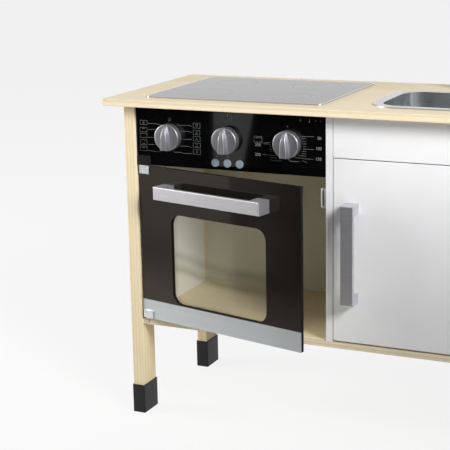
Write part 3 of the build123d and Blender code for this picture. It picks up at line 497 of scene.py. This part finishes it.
def smoothed(mesh, sharp=SHARP_ANGLE):
    """Shades a mesh smooth, with sharp edges past an angle."""
    mesh.polygons.foreach_set("use_smooth", [True] * len(mesh.polygons))
    mesh.set_sharp_from_angle(angle=sharp)


def placed(name, mesh, body, finish=None):
    """A finished piece from a mesh, riding on a body."""
    piece = bpy.data.objects.new(name, mesh)
    bpy.context.scene.collection.objects.link(piece)
    if finish is not None:
        mesh.materials.clear()
        mesh.materials.append(FINISH[finish])
    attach(piece, body)
    return piece


def dress(node, finish, rounding):
    """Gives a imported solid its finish. Where its edges are rounded, a merged copy stands for it."""
    solid = frame["nodes"][node]
    if not rounding:
        solid.data.materials.clear()
        solid.data.materials.append(FINISH[finish])
        return
    mesh = merged(node)
    piece = placed(node + "_dressed", mesh, body_with(node), finish)
    smoothed(mesh)
    edge = piece.modifiers.new("edge", "BEVEL")
    edge.width = rounding * MM
    edge.segments = BEVEL_STEPS
    edge.limit_method = "ANGLE"
    edge.angle_limit = SHARP_ANGLE
    edge.harden_normals = True
    if node in SAWN:
        mesh.materials.append(FINISH["sawn"])
        front = SAWN[node]
        for face in mesh.polygons:
            face.material_index = 0 if abs(face.normal.dot(front)) > 0.9 else 1
    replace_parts(piece, node)


# Sheets with a glossy face and sawn edges, with the way that their face looks.
SAWN = {"oven_door_panel": Vector((-math.sin(DOOR_TURN), -math.cos(DOOR_TURN), 0.0))}
for solid_name, (solid_finish, solid_rounding) in DRESS.items():
    dress(solid_name, solid_finish, solid_rounding)


# Knobs, in millimetres from a knob's centre: x across, y to the front and back, z up

KNOB_RADIUS = 19.6
KNOB_RIM = 1.5
KNOB_BACK_EDGE = 0.6
KNOB_BORE = 3.02
KNOB_BORE_DEPTH = 7.0
KNOB_STEPS = 96
RIM_STEPS = 6
RIDGE_FOOT, RIDGE_TIP = -17.16, 18.5
# The ridge's sizes at its foot and at its tip, and how late each falls from the one to the other.
RIDGE_HALF_WIDTH = (6.9, 2.2, 2.3)
RIDGE_CREST = (5.0, 1.2, 2.3)
RIDGE_HEIGHT = (10.0, 1.4, 5.5)
RIDGE_SUNK = 0.6
RIDGE_SLICES = 30
CREST_ROUNDING = 0.9
CREST_STEPS = 5


def eased(first, last, share, power):
    """A size that leaves its first value slowly and reaches its last at a share of one."""
    return first + (last - first) * share**power


def ridge_slice(share, face):
    """One slice across a knob's ridge, from the left of its foot over its rounded crest to the right."""
    half, crest, height = (
        eased(foot, tip, share, power) for foot, tip, power in (RIDGE_HALF_WIDTH, RIDGE_CREST, RIDGE_HEIGHT)
    )
    flank = math.hypot(half - crest, height)
    soft = min(CREST_ROUNDING, crest * 0.6, flank * 0.5)
    side = [(half, -RIDGE_SUNK)]
    lower = (crest + (half - crest) * soft / flank, height * (1 - soft / flank))
    for i in range(CREST_STEPS + 1):
        t = i / CREST_STEPS
        x = (1 - t) ** 2 * lower[0] + 2 * t * (1 - t) * crest + t**2 * (crest - soft)
        rise = (1 - t) ** 2 * lower[1] + 2 * t * (1 - t) * height + t**2 * height
        side.append((x, rise))
    whole = [(-x, rise) for x, rise in side] + [(x, rise) for x, rise in reversed(side)]
    level = RIDGE_FOOT + (RIDGE_TIP - RIDGE_FOOT) * share
    return [(x, face - rise, level) for x, rise in whole]


def knob_mesh(name, face, back, centre):
    """A knob: a disc with a rounded rim and a bore for its spindle, and a ridge to grip it by."""
    bore_end = back - KNOB_BORE_DEPTH
    profile = [(0.0, bore_end), (KNOB_BORE, bore_end), (KNOB_BORE, back)]
    profile += [(KNOB_RADIUS - KNOB_BACK_EDGE, back), (KNOB_RADIUS, back - KNOB_BACK_EDGE)]
    for i in range(RIM_STEPS + 1):
        turn = math.pi / 2 * i / RIM_STEPS
        out = KNOB_RADIUS - KNOB_RIM + KNOB_RIM * math.cos(turn)
        profile.append((out, face + KNOB_RIM - KNOB_RIM * math.sin(turn)))
    profile.append((0.0, face))
    shape = bmesh.new()
    points = [shape.verts.new((r, y, 0.0)) for r, y in profile]
    edges = [shape.edges.new(pair) for pair in zip(points, points[1:])]
    bmesh.ops.spin(
        shape,
        geom=points + edges,
        cent=(0, 0, 0),
        axis=(0, 1, 0),
        angle=2 * math.pi,
        steps=KNOB_STEPS,
        use_merge=True,
    )
    rows = []
    for i in range(RIDGE_SLICES + 1):
        rows.append([shape.verts.new(point) for point in ridge_slice(i / RIDGE_SLICES, face)])
    for low, high in zip(rows, rows[1:]):
        for i in range(len(low)):
            j = (i + 1) % len(low)
            shape.faces.new((low[i], low[j], high[j], high[i]))
    shape.faces.new(rows[0])
    shape.faces.new(rows[-1])
    bmesh.ops.remove_doubles(shape, verts=shape.verts, dist=0.002)
    bmesh.ops.recalc_face_normals(shape, faces=shape.faces)
    mesh = bpy.data.meshes.new(name)
    shape.to_mesh(mesh)
    shape.free()
    mesh.transform(Matrix.Translation(centre) @ Matrix.Scale(MM, 4))
    smoothed(mesh, KNOB_SHARP_ANGLE)
    return mesh


def make_knobs():
    """The three knobs, each on its own body."""
    for side in ("left", "middle", "right"):
        node = "knob_" + side
        low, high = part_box(node)
        centre = Vector(((low.x + high.x) / 2, 0.0, (low.z + high.z) / 2))
        back = high.y / MM
        face = low.y / MM + RIDGE_HEIGHT[0]
        mesh = knob_mesh(node + "_dressed", face, back, centre)
        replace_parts(placed(node + "_dressed", mesh, body_with(node), "knob"), node)


make_knobs()


# Printed graphics

UNDERSIDE = 484.0  # the worktop's underside, from which the print's heights are measured
PANEL_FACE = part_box("control_panel")[0].y
HOB_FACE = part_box("hob_glass")[1].z
LINE = 0.28
HOB_LINE = 0.7
INK_THICKNESS = 0.06
THINNED = 0.07  # taken off each side of a number's strokes


def ink_tree():
    """Geometry Nodes that lay ink along every edge of a mesh as a flat line."""
    tree = bpy.data.node_groups.new("printed_line", "GeometryNodeTree")
    tree.interface.new_socket(name="Geometry", in_out="OUTPUT", socket_type="NodeSocketGeometry")
    tree.interface.new_socket(name="Geometry", in_out="INPUT", socket_type="NodeSocketGeometry")
    for name, kind in (
        ("Line width", "NodeSocketFloat"),
        ("Ink thickness", "NodeSocketFloat"),
        ("Ink", "NodeSocketMaterial"),
    ):
        tree.interface.new_socket(name=name, in_out="INPUT", socket_type=kind)
    given = add(tree, "NodeGroupInput").outputs
    path = add(tree, "GeometryNodeMeshToCurve", inputs={"Mesh": given["Geometry"]})
    flat = add(
        tree,
        "GeometryNodeCurvePrimitiveQuadrilateral",
        inputs={"Width": given["Line width"], "Height": given["Ink thickness"]},
    )
    line = add(
        tree,
        "GeometryNodeCurveToMesh",
        inputs={"Curve": path.outputs["Curve"], "Profile Curve": flat.outputs["Curve"], "Fill Caps": True},
    )
    real = add(tree, "GeometryNodeRealizeInstances", inputs={"Geometry": line.outputs["Mesh"]})
    inked = add(
        tree,
        "GeometryNodeSetMaterial",
        inputs={"Geometry": real.outputs["Geometry"], "Material": given["Ink"]},
    )
    add(tree, "NodeGroupOutput", inputs={"Geometry": inked.outputs["Geometry"]})
    return tree


def grown(name, source, tree, values):
    """The plain mesh that a Geometry Nodes tree makes from a source mesh."""
    stand = bpy.data.objects.new(name + "_source", source)
    bpy.context.scene.collection.objects.link(stand)
    modifier = stand.modifiers.new("grow", "NODES")
    modifier.node_group = tree
    for item in tree.interface.items_tree:
        if item.item_type == "SOCKET" and item.in_out == "INPUT" and item.name in values:
            modifier[item.identifier] = values[item.name]
    bpy.context.view_layer.update()
    ready = stand.evaluated_get(bpy.context.evaluated_depsgraph_get())
    mesh = bpy.data.meshes.new_from_object(ready)
    mesh.name = name
    bpy.data.objects.remove(stand)
    return mesh


def strokes(name, lines):
    """A mesh of lines, each a list of (x, y) points in millimetres, closed if it ends where it starts."""
    points, edges = [], []
    for line in lines:
        first = len(points)
        closed = len(line) > 2 and line[0] == line[-1]
        kept = line[:-1] if closed else line
        points += [(x * MM, y * MM, 0.0) for x, y in kept]
        edges += [(first + i, first + i + 1) for i in range(len(kept) - 1)]
        if closed:
            edges.append((len(points) - 1, first))
    mesh = bpy.data.meshes.new(name)
    mesh.from_pydata(points, edges, [])
    return mesh


def arc(x, y, radius, start=0.0, end=360.0, steps=28):
    """Points along an arc, in degrees."""
    turns = [math.radians(start + (end - start) * i / steps) for i in range(steps + 1)]
    line = [(x + radius * math.cos(t), y + radius * math.sin(t)) for t in turns]
    if abs(end - start) >= 360:
        line[-1] = line[0]
    return line


def frame_line(x, y, width, height):
    """A rectangle drawn with one line, from its centre."""
    w, h = width / 2, height / 2
    return [(x - w, y - h), (x + w, y - h), (x + w, y + h), (x - w, y + h), (x - w, y - h)]


def symbol(kind, x, y, s=1.0):
    """The lines of one cooking symbol, about 5 mm across. A plain box has none."""
    if kind == "lamp":
        return [arc(x, y + 0.5 * s, 1.5 * s), [(x - 0.7 * s, y - 1.9 * s), (x + 0.7 * s, y - 1.9 * s)]]
    if kind == "fan":
        blades = []
        for degrees in (90, 210, 330):
            out_x = 0.95 * s * math.cos(math.radians(degrees))
            out_y = 0.95 * s * math.sin(math.radians(degrees))
            blades.append(arc(x + out_x, y + out_y, 0.95 * s, degrees, degrees + 180, 8))
        return blades
    if kind == "top":
        return [[(x - 2.3 * s, y + 2.0 * s), (x + 2.3 * s, y + 2.0 * s)]]
    if kind == "bottom":
        return [[(x - 2.3 * s, y - 2.0 * s), (x + 2.3 * s, y - 2.0 * s)]]
    if kind == "grill":
        return [[(x + (i - 3) * 0.8 * s, y + (1.9 if i % 2 else 0.9) * s) for i in range(7)]]
    if kind == "both":
        return symbol("top", x, y, s) + symbol("bottom", x, y, s)
    if kind == "cone":
        left, tip, right = (x - 1.5 * s, y - 1.4 * s), (x, y + 1.5 * s), (x + 1.5 * s, y - 1.4 * s)
        return [[left, tip, right, left]]
    return []


# Each box as its symbol and two corners, and each line as its points: x, and the height from the underside.
BOXES_LEFT = (
    ("fan", -298.3, -22.5, -286.5, -29.0),
    ("top", -298.8, -33.3, -287.0, -39.7),
    ("plain", -299.0, -42.1, -287.4, -48.6),
    ("bottom", -299.0, -51.9, -287.8, -59.0),
    ("grill", -299.3, -61.3, -288.1, -68.0),
)
BOXES_RIGHT = (
    ("lamp", -210.6, -22.3, -199.6, -29.6),
    ("cone", -210.8, -32.9, -200.0, -39.3),
    ("cone", -211.0, -42.1, -199.8, -48.7),
    ("both", -211.3, -51.7, -199.6, -58.3),
    ("fan", -211.6, -61.4, -199.4, -68.3),
)
LEADS = (
    ((-284.8, -26.7), (-275.3, -26.6), (-261.8, -27.6)),
    ((-285.1, -35.8), (-272.4, -35.1)),
    ((-285.6, -47.7), (-276.0, -47.2)),
    ((-286.0, -58.3), (-273.2, -57.6)),
    ((-286.3, -67.5), (-280.4, -67.5), (-274.0, -68.5), (-265.9, -68.3)),
    ((-238.0, -26.7), (-228.7, -26.7), (-217.2, -26.3), (-213.3, -27.9)),
    ((-230.3, -35.5), (-217.9, -35.1), (-213.5, -36.5)),
    ((-228.9, -47.5), (-213.8, -46.9)),
    ((-232.3, -57.9), (-219.0, -57.2), (-214.1, -58.7)),
    ((-243.7, -65.3), (-242.4, -67.4), (-231.7, -67.0), (-227.3, -68.4), (-213.5, -67.8)),
)
SCALE_RIGHT = (
    ((-43.1, -32.8), (-22.7, -32.3)),
    ((-40.8, -35.7), (-34.1, -35.7)),
    ((-40.2, -39.8), (-34.1, -39.7)),
    ((-39.5, -43.2), (-34.1, -43.2)),
    ((-38.8, -46.8), (-34.1, -46.8)),
    ((-38.9, -50.6), (-22.8, -50.4)),
    ((-40.9, -53.8), (-34.1, -53.8)),
    ((-42.3, -57.2), (-34.1, -57.2)),
    ((-47.0, -60.5), (-34.1, -60.5)),
    ((-52.5, -63.2), (-44.3, -64.0), (-23.5, -64.6)),
    ((-40.3, -67.6), (-33.6, -69.3)),
    ((-62.0, -66.4), (-57.9, -69.3), (-44.4, -69.1)),
)
SCALE_LEFT = (
    ((-100.2, -45.5), (-87.1, -43.5)),
    ((-98.9, -46.7), (-87.8, -46.7)),
    ((-90.6, -50.1), (-87.2, -50.2)),
    ((-90.7, -54.0), (-86.5, -54.0)),
    ((-90.0, -57.6), (-85.2, -57.5)),
    ((-101.8, -62.1), (-90.8, -62.0), (-81.1, -63.1)),
    ((-90.1, -65.6), (-79.8, -66.2)),
    ((-89.5, -68.4), (-85.3, -70.2), (-71.6, -69.6)),
)
SMALL_MARKS = (
    (
        (-249.1, -16.5),
        (-251.3, -19.6),
        (-250.4, -21.0),
        (-249.2, -21.3),
        (-247.7, -20.8),
        (-246.9, -19.4),
        (-249.1, -16.5),
    ),
    ((-155.3, -6.6), (-155.3, -10.6)),
    ((-175.2, -69.4), (-172.6, -69.4)),
    ((-157.3, -69.6), (-156.0, -68.2), (-154.7, -69.6)),
    ((-137.5, -68.4), (-134.9, -68.4)),
    ((-29.3, -7.4), (-29.3, -11.0)),
    ((-13.3, -8.9), (-11.5, -10.0), (-13.3, -11.1), (-13.3, -8.9)),
)


def panel_lines():
    """The boxes with their cooking symbols on both sides of the left knob, and the lines to them."""
    lines = [list(lead) for lead in LEADS]
    for kind, x1, z1, x2, z2 in BOXES_LEFT + BOXES_RIGHT:
        x, z = (x1 + x2) / 2, (z1 + z2) / 2
        lines.append(frame_line(x, z, x2 - x1, z1 - z2))
        lines += symbol(kind, x, z, 0.9)
    return lines


def temperature_lines():
    """The scale round the right knob, with a long line at each number, and the symbol over the highest."""
    lines = [list(tick) for tick in SCALE_RIGHT + SCALE_LEFT]
    lines += [frame_line(-108.2, -40.4, 12.2, 8.2)] + symbol("grill", -108.2, -40.4, 1.5)
    return lines


def small_marks():
    """The marks over the knobs and the buttons, and those at the panel's upper right."""
    lines = [list(mark) for mark in SMALL_MARKS]
    lines += [arc(-42.4, -9.5, 1.5, 40, 320, 12), arc(-29.3, -11.9, 0.8, steps=10)]
    lines += [arc(-20.0, -10.1, 0.6, steps=8), arc(-62.4, -19.8, 0.6, steps=8)]
    return lines


def standing(mesh, face):
    """Stands a mesh drawn flat up against the panel's front."""
    mesh.transform(Matrix.Translation((0.0, face, UNDERSIDE * MM)) @ Matrix.Rotation(math.pi / 2, 4, "X"))
    return mesh


INK = ink_tree()
INK_VALUES = {"Line width": LINE * MM, "Ink thickness": INK_THICKNESS * MM, "Ink": FINISH["print"]}
panel_strokes = strokes("panel_print_lines", panel_lines() + temperature_lines() + small_marks())
panel_print = grown("panel_print", panel_strokes, INK, INK_VALUES)
placed("panel_print", standing(panel_print, PANEL_FACE), "kitchen", "print")


def printed_words(words, face):
    """Numbers printed on the panel, each as (text, x, height below the worktop, size)."""
    shape = bmesh.new()
    for text, x, z, size in words:
        letters = bpy.data.curves.new("letters", "FONT")
        letters.body = text
        letters.size = size * MM
        letters.align_x = "CENTER"
        letters.align_y = "CENTER"
        letters.extrude = INK_THICKNESS / 2 * MM
        letters.offset = -THINNED * MM
        stand = bpy.data.objects.new("letters", letters)
        bpy.context.scene.collection.objects.link(stand)
        bpy.context.view_layer.update()
        mesh = bpy.data.meshes.new_from_object(stand.evaluated_get(bpy.context.evaluated_depsgraph_get()))
        bpy.data.objects.remove(stand)
        mesh.transform(Matrix.Translation((x * MM, z * MM, 0.0)))
        shape.from_mesh(mesh)
    whole = bpy.data.meshes.new("panel_numbers")
    shape.to_mesh(whole)
    shape.free()
    return standing(whole, face)


NUMBERS = [
    ("50", -14.7, -34.3, 6.2),
    ("100", -15.8, -48.9, 6.2),
    ("150", -16.1, -63.8, 6.2),
    ("250", -108.3, -48.6, 6.2),
    ("200", -108.5, -62.8, 6.2),
]
placed("panel_numbers", printed_words(NUMBERS, PANEL_FACE), "kitchen", "print")


# The display's left, right, top and bottom, its corners' radius, how far it stands before the panel's face,
# and the ring on it as its centre and radius.
DISPLAY = (-178.7, -136.7, -7.4, -20.1)
DISPLAY_CORNER = 1.2
DISPLAY_LIFT = 0.02
DISPLAY_RING = (-155.3, -12.3, 7.0)


def display_film():
    """The small display over the middle knob: a thin dark film with rounded corners."""
    x1, x2, z1, z2 = DISPLAY
    corner = DISPLAY_CORNER
    outline = []
    for x, z, start in ((x2, z1, 0), (x1, z1, 90), (x1, z2, 180), (x2, z2, 270)):
        inside_x = x - corner if x == x2 else x + corner
        inside_z = z - corner if z == z1 else z + corner
        outline += arc(inside_x, inside_z, corner, start, start + 90, 6)
    shape = bmesh.new()
    face = shape.faces.new([shape.verts.new((x * MM, z * MM, DISPLAY_LIFT * MM)) for x, z in outline])
    added = bmesh.ops.extrude_face_region(shape, geom=[face])["geom"]
    rear = [part for part in added if isinstance(part, bmesh.types.BMVert)]
    bmesh.ops.translate(shape, verts=rear, vec=(0.0, 0.0, -2 * DISPLAY_LIFT * MM))
    bmesh.ops.recalc_face_normals(shape, faces=shape.faces)
    mesh = bpy.data.meshes.new("display_film")
    shape.to_mesh(mesh)
    shape.free()
    return standing(mesh, PANEL_FACE)


placed("display_film", display_film(), "kitchen", "film")
ring_strokes = strokes("display_ring_line", [arc(*DISPLAY_RING, -60, 240, 36)])
ring = standing(grown("display_ring", ring_strokes, INK, INK_VALUES), PANEL_FACE - DISPLAY_LIFT * MM)
placed("display_ring", ring, "kitchen", "faint_print")


# The radii of the large and the small cooking zones, and how far a zone's inner ring lies inside its outer.
ZONE_RADII = (42.0, 34.0)
ZONE_RING = 3.0


def hob_rings():
    """Two rings for each of the four cooking zones."""
    low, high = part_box("hob_glass")
    wide, deep = (high.x - low.x) / MM, (high.y - low.y) / MM
    centre_x, centre_y = (low.x + high.x) / 2 / MM, (low.y + high.y) / 2 / MM
    large, small = ZONE_RADII
    lines = []
    for sx, sy, radius in ((-1, -1, large), (1, -1, small), (-1, 1, small), (1, 1, large)):
        x, y = centre_x + sx * wide * 0.25, centre_y + sy * deep * 0.25
        lines += [arc(x, y, radius, steps=72), arc(x, y, radius - ZONE_RING, steps=72)]
    return lines


HOB_VALUES = {**INK_VALUES, "Line width": HOB_LINE * MM}
hob_print = grown("hob_print", strokes("hob_print_lines", hob_rings()), INK, HOB_VALUES)
hob_print.transform(Matrix.Translation((0.0, 0.0, HOB_FACE)))
placed("hob_print", hob_print, "kitchen", "print")


# Studio

FLOOR_GLOW = 0.86  # how much of the floor's look is its own glow; the rest keeps the shadows
FRONT_GLOW = 0.12  # what shiny parts see of the studio in front; behind, it is white
FRONT_TO_REAR = (-0.75, 0.1)  # where that turns from the one to the other, as a direction's Y
BOUNCED_GLOW = 0.06  # the weak light from all round that fills the shadows
LARGER = {"operation": "MAXIMUM"}
PRODUCT = {"operation": "MULTIPLY"}


def card(name, corners, stops, way="X"):
    """A glowing card that only shiny surfaces see, so that it paints a reflection into them, with its glow in
    stops of (place in metres, colour).
    """
    mesh = bpy.data.meshes.new(name)
    mesh.from_pydata(corners, [], [(0, 1, 2, 3)])
    piece = bpy.data.objects.new(name, mesh)
    bpy.context.scene.collection.objects.link(piece)
    material = bpy.data.materials.new(name)
    material.use_nodes = True
    tree = material.node_tree
    tree.nodes.clear()
    where = add(tree, "ShaderNodeTexCoord").outputs["Object"]
    place = add(tree, "ShaderNodeSeparateXYZ", inputs={"Vector": where}).outputs[way]
    low, high = stops[0][0], stops[-1][0]
    share = add(
        tree, "ShaderNodeMapRange", inputs={"Value": place, "From Min": low, "From Max": high}
    ).outputs["Result"]
    tone = ramp(tree, share, [((at - low) / (high - low), shade(colour)) for at, colour in stops])
    glow = add(tree, "ShaderNodeEmission", inputs={"Color": tone, "Strength": 1.0})
    add(tree, "ShaderNodeOutputMaterial", inputs={"Surface": glow.outputs["Emission"]})
    mesh.materials.append(material)
    for ray in ("camera", "diffuse", "transmission", "volume_scatter", "shadow"):
        setattr(piece, "visible_" + ray, False)
    return piece


def unscattered(tree, rays):
    """One for a ray that hasn't left a dull surface yet, else nothing, so that the clear pane doesn't let the
    white surroundings in as light."""
    return add(
        tree, "ShaderNodeMath", {"operation": "LESS_THAN"}, {0: rays["Diffuse Depth"], 1: 0.5}
    ).outputs[0]


def make_floor():
    """A pale studio floor: near white to the camera and in reflections, and it keeps a soft shadow."""
    mesh = bpy.data.meshes.new("studio_floor")
    mesh.from_pydata([(-9, -9, 0), (9, -9, 0), (9, 9, 0), (-9, 9, 0)], [], [(0, 1, 2, 3)])
    floor = bpy.data.objects.new("studio_floor", mesh)
    bpy.context.scene.collection.objects.link(floor)
    material, tree, paper = blank("studio_floor_paper", Roughness=0.9, **{"Base Color": shade("#DEDEDE")})
    glow = add(tree, "ShaderNodeEmission", inputs={"Color": (1, 1, 1, 1), "Strength": 1.0})
    rays = add(tree, "ShaderNodeLightPath").outputs
    straight = {0: rays["Is Camera Ray"], 1: rays["Is Glossy Ray"]}
    seen = add(tree, "ShaderNodeMath", LARGER, straight).outputs[0]
    seen = add(tree, "ShaderNodeMath", LARGER, {0: seen, 1: rays["Is Transmission Ray"]}).outputs[0]
    seen = add(tree, "ShaderNodeMath", PRODUCT, {0: seen, 1: unscattered(tree, rays)}).outputs[0]
    share = add(tree, "ShaderNodeMath", PRODUCT, {0: seen, 1: FLOOR_GLOW}).outputs[0]
    both = add(
        tree,
        "ShaderNodeMixShader",
        inputs={0: share, 1: paper.outputs["BSDF"], 2: glow.outputs["Emission"]},
    )
    out = next(n for n in tree.nodes if n.type == "OUTPUT_MATERIAL")
    tree.links.new(both.outputs["Shader"], out.inputs["Surface"])
    mesh.materials.append(material)


# Each softbox: its side, how far round from the front and how high up in degrees, its distance in metres,
# its power in watts, its width and its height.
SOFTBOXES = (
    ("left", -75.0, 17.0, 2.5, 50.0, 1.2, 1.2),
    ("right", 54.5, 29.0, 3.2, 130.0, 0.9, 1.2),
    ("top", 20.0, 78.0, 2.5, 2.0, 1.2, 1.2),
)
LAMP_AIM = (0.0, -0.02, 0.3)


def make_lamps():
    """A softbox to the right of the camera, one at the object's left side and a weak one overhead."""
    aim = Vector(LAMP_AIM)
    for name, azimuth, elevation, distance, power, wide, high in SOFTBOXES:
        a, e = math.radians(azimuth), math.radians(elevation)
        way = Vector((math.sin(a) * math.cos(e), -math.cos(a) * math.cos(e), math.sin(e)))
        data = bpy.data.lights.new("softbox_" + name, "AREA")
        data.shape = "RECTANGLE"
        data.size = wide
        data.size_y = high
        data.energy = power
        lamp = bpy.data.objects.new("softbox_" + name, data)
        bpy.context.scene.collection.objects.link(lamp)
        lamp.location = aim + way * distance
        lamp.rotation_mode = "QUATERNION"
        lamp.rotation_quaternion = way.to_track_quat("Z", "Y")


# The flag that keeps part of the right softbox off the object's lower parts: its distance, width and height.
LOW_FLAG = (0.95, 2.2, 0.675)


def make_low_flag():
    """A black flag before the right softbox. It only casts a soft shadow and is never seen."""
    azimuth = math.radians(next(row[1] for row in SOFTBOXES if row[0] == "right"))
    distance, wide, high = LOW_FLAG
    side = Vector((math.cos(azimuth), math.sin(azimuth), 0.0)) * wide / 2
    middle = Vector((math.sin(azimuth), -math.cos(azimuth), 0.0)) * distance
    top = Vector((0.0, 0.0, high))
    corners = [middle - side, middle + side, middle + side + top, middle - side + top]
    mesh = bpy.data.meshes.new("low_flag")
    mesh.from_pydata(corners, [], [(0, 1, 2, 3)])
    flag = bpy.data.objects.new("low_flag", mesh)
    bpy.context.scene.collection.objects.link(flag)
    mesh.materials.append(blank("black_flag_cloth", Roughness=0.9, **{"Base Color": shade("#0A0A0A")})[0])
    for ray in ("camera", "diffuse", "glossy", "transmission", "volume_scatter"):
        setattr(flag, "visible_" + ray, False)


def make_world():
    """White to the camera and through clear parts; shiny parts see it white behind and dark in front."""
    world = bpy.data.worlds.new("studio")
    bpy.context.scene.world = world
    world.use_nodes = True
    tree = world.node_tree
    tree.nodes.clear()
    rays = add(tree, "ShaderNodeLightPath").outputs
    where = add(tree, "ShaderNodeTexCoord").outputs["Generated"]
    depth = add(tree, "ShaderNodeSeparateXYZ", inputs={"Vector": where}).outputs["Y"]
    start, end = FRONT_TO_REAR
    span = {"From Min": start, "From Max": end, "To Min": FRONT_GLOW, "To Max": 1.0}
    rear = add(tree, "ShaderNodeMapRange", inputs={"Value": depth, **span}).outputs["Result"]
    shiny = add(tree, "ShaderNodeMath", PRODUCT, {0: rays["Is Glossy Ray"], 1: rear}).outputs[0]
    straight = {0: rays["Is Camera Ray"], 1: rays["Is Transmission Ray"]}
    direct = add(tree, "ShaderNodeMath", LARGER, straight).outputs[0]
    scattered = {0: rays["Diffuse Depth"], 1: 0.5}
    bounced = add(tree, "ShaderNodeMath", {"operation": "GREATER_THAN"}, scattered).outputs[0]
    soft = add(tree, "ShaderNodeMath", PRODUCT, {0: bounced, 1: BOUNCED_GLOW}).outputs[0]
    either = add(tree, "ShaderNodeMath", LARGER, {0: shiny, 1: direct}).outputs[0]
    first = add(tree, "ShaderNodeMath", PRODUCT, {0: either, 1: unscattered(tree, rays)}).outputs[0]
    whole = add(tree, "ShaderNodeMath", LARGER, {0: first, 1: soft}).outputs[0]
    sky = add(tree, "ShaderNodeBackground", inputs={"Color": (1, 1, 1, 1), "Strength": whole})
    add(tree, "ShaderNodeOutputWorld", inputs={"Surface": sky.outputs["Background"]})


# The photograph's camera, in millimetres and metres: its sensor, lens and place, and its own three ways.
SENSOR_WIDTH = 36.0
LENS = 104.58
CAMERA_PLACE = (0.629076, -1.784336, 0.765704)
CAMERA_RIGHT = (0.9069091, 0.4208871, -0.0192333)
CAMERA_UP = (-0.0825164, 0.2221974, 0.9715037)
CAMERA_BACK = (0.4131670, -0.8794785, 0.2362429)


def make_camera():
    """The photograph's camera, which is fitted to the object's edges."""
    data = bpy.data.cameras.new("photograph")
    data.sensor_width = SENSOR_WIDTH
    data.lens = LENS
    camera = bpy.data.objects.new("photograph", data)
    bpy.context.scene.collection.objects.link(camera)
    turn = Matrix((CAMERA_RIGHT, CAMERA_UP, CAMERA_BACK)).transposed().to_4x4()
    camera.matrix_world = Matrix.Translation(CAMERA_PLACE) @ turn
    data.clip_start = 0.05
    bpy.context.scene.camera = camera


# The places of the glowing cards that paint reflections, in metres. The dark and the warm floor cards meet in
# line with the standing card's left edge, as the oven door mirrors it.
GLOW_CARD_Y = -0.747
GLOW_CARD_LEFT = -0.904
GLOW_CARD_RIGHT = 2.6
GLOW_CARD_TOP = 0.45
DARK_GLOW_FRONT = -0.36
MIRROR_SLOPE = 1.26
WARM_GLOW_LEFT = -2.6
WARM_GLOW_FRONT = -1.5
DARK_GLOW_LEFT = GLOW_CARD_LEFT + MIRROR_SLOPE * (DARK_GLOW_FRONT - GLOW_CARD_Y)
WARM_GLOW_RIGHT = GLOW_CARD_LEFT + MIRROR_SLOPE * (WARM_GLOW_FRONT - GLOW_CARD_Y)
CARD_LIFT = 0.002
BAND_Y = GLOW_CARD_Y + 0.007
BAND_LOW, BAND_HIGH = 0.20, 0.40


def make_cards():
    """Glowing cards that only shiny parts see, which paint reflections into them: a dark card standing before
    the object, a dark and a warm card lying on the floor, and a pale band on the standing card, which paints
    a pale reflection on the control panel round its middle knob."""
    card(
        "dark_reflection_glow",
        [
            (GLOW_CARD_LEFT, GLOW_CARD_Y, 0.0),
            (GLOW_CARD_RIGHT, GLOW_CARD_Y, 0.0),
            (GLOW_CARD_RIGHT, GLOW_CARD_Y, GLOW_CARD_TOP),
            (GLOW_CARD_LEFT, GLOW_CARD_Y, GLOW_CARD_TOP),
        ],
        [
            (GLOW_CARD_LEFT, "#938A84"),
            (-0.8, "#837B73"),
            (-0.72, "#5A534C"),
            (-0.67, "#2A2826"),
            (-0.6, "#262626"),
        ],
    )
    card(
        "dark_floor_reflection_glow",
        [
            (GLOW_CARD_LEFT, GLOW_CARD_Y, CARD_LIFT),
            (GLOW_CARD_RIGHT, GLOW_CARD_Y, CARD_LIFT),
            (GLOW_CARD_RIGHT, DARK_GLOW_FRONT, CARD_LIFT),
            (DARK_GLOW_LEFT, DARK_GLOW_FRONT, CARD_LIFT),
        ],
        [
            (GLOW_CARD_Y, "#454038"),
            (-0.67, "#615B56"),
            (-0.63, "#8A827C"),
            (-0.585, "#968D88"),
            (-0.5, "#C0B4AE"),
        ],
        "Y",
    )
    card(
        "pale_reflection_band",
        [
            (-0.487, BAND_Y, BAND_LOW),
            (-0.437, BAND_Y, BAND_LOW),
            (-0.391, BAND_Y, BAND_HIGH),
            (-0.484, BAND_Y, BAND_HIGH),
        ],
        [(-0.49, "#E4E7E7"), (-0.39, "#E4E7E7")],
    )
    card(
        "warm_floor_reflection_glow",
        [
            (WARM_GLOW_LEFT, WARM_GLOW_FRONT, CARD_LIFT),
            (WARM_GLOW_RIGHT, WARM_GLOW_FRONT, CARD_LIFT),
            (DARK_GLOW_LEFT, DARK_GLOW_FRONT, CARD_LIFT),
            (WARM_GLOW_LEFT, DARK_GLOW_FRONT, CARD_LIFT),
        ],
        [
            (-1.2, "#DBD0C1"),
            (-0.915, "#D7C9BD"),
            (-0.788, "#C3BDAD"),
            (-0.686, "#B2AC9E"),
            (-0.586, "#D0C9BA"),
            (-0.505, "#FAE6DB"),
        ],
        "Y",
    )


make_floor()
make_lamps()
make_low_flag()
make_world()
make_camera()
make_cards()

bpy.context.scene.view_settings.view_transform = "Standard"
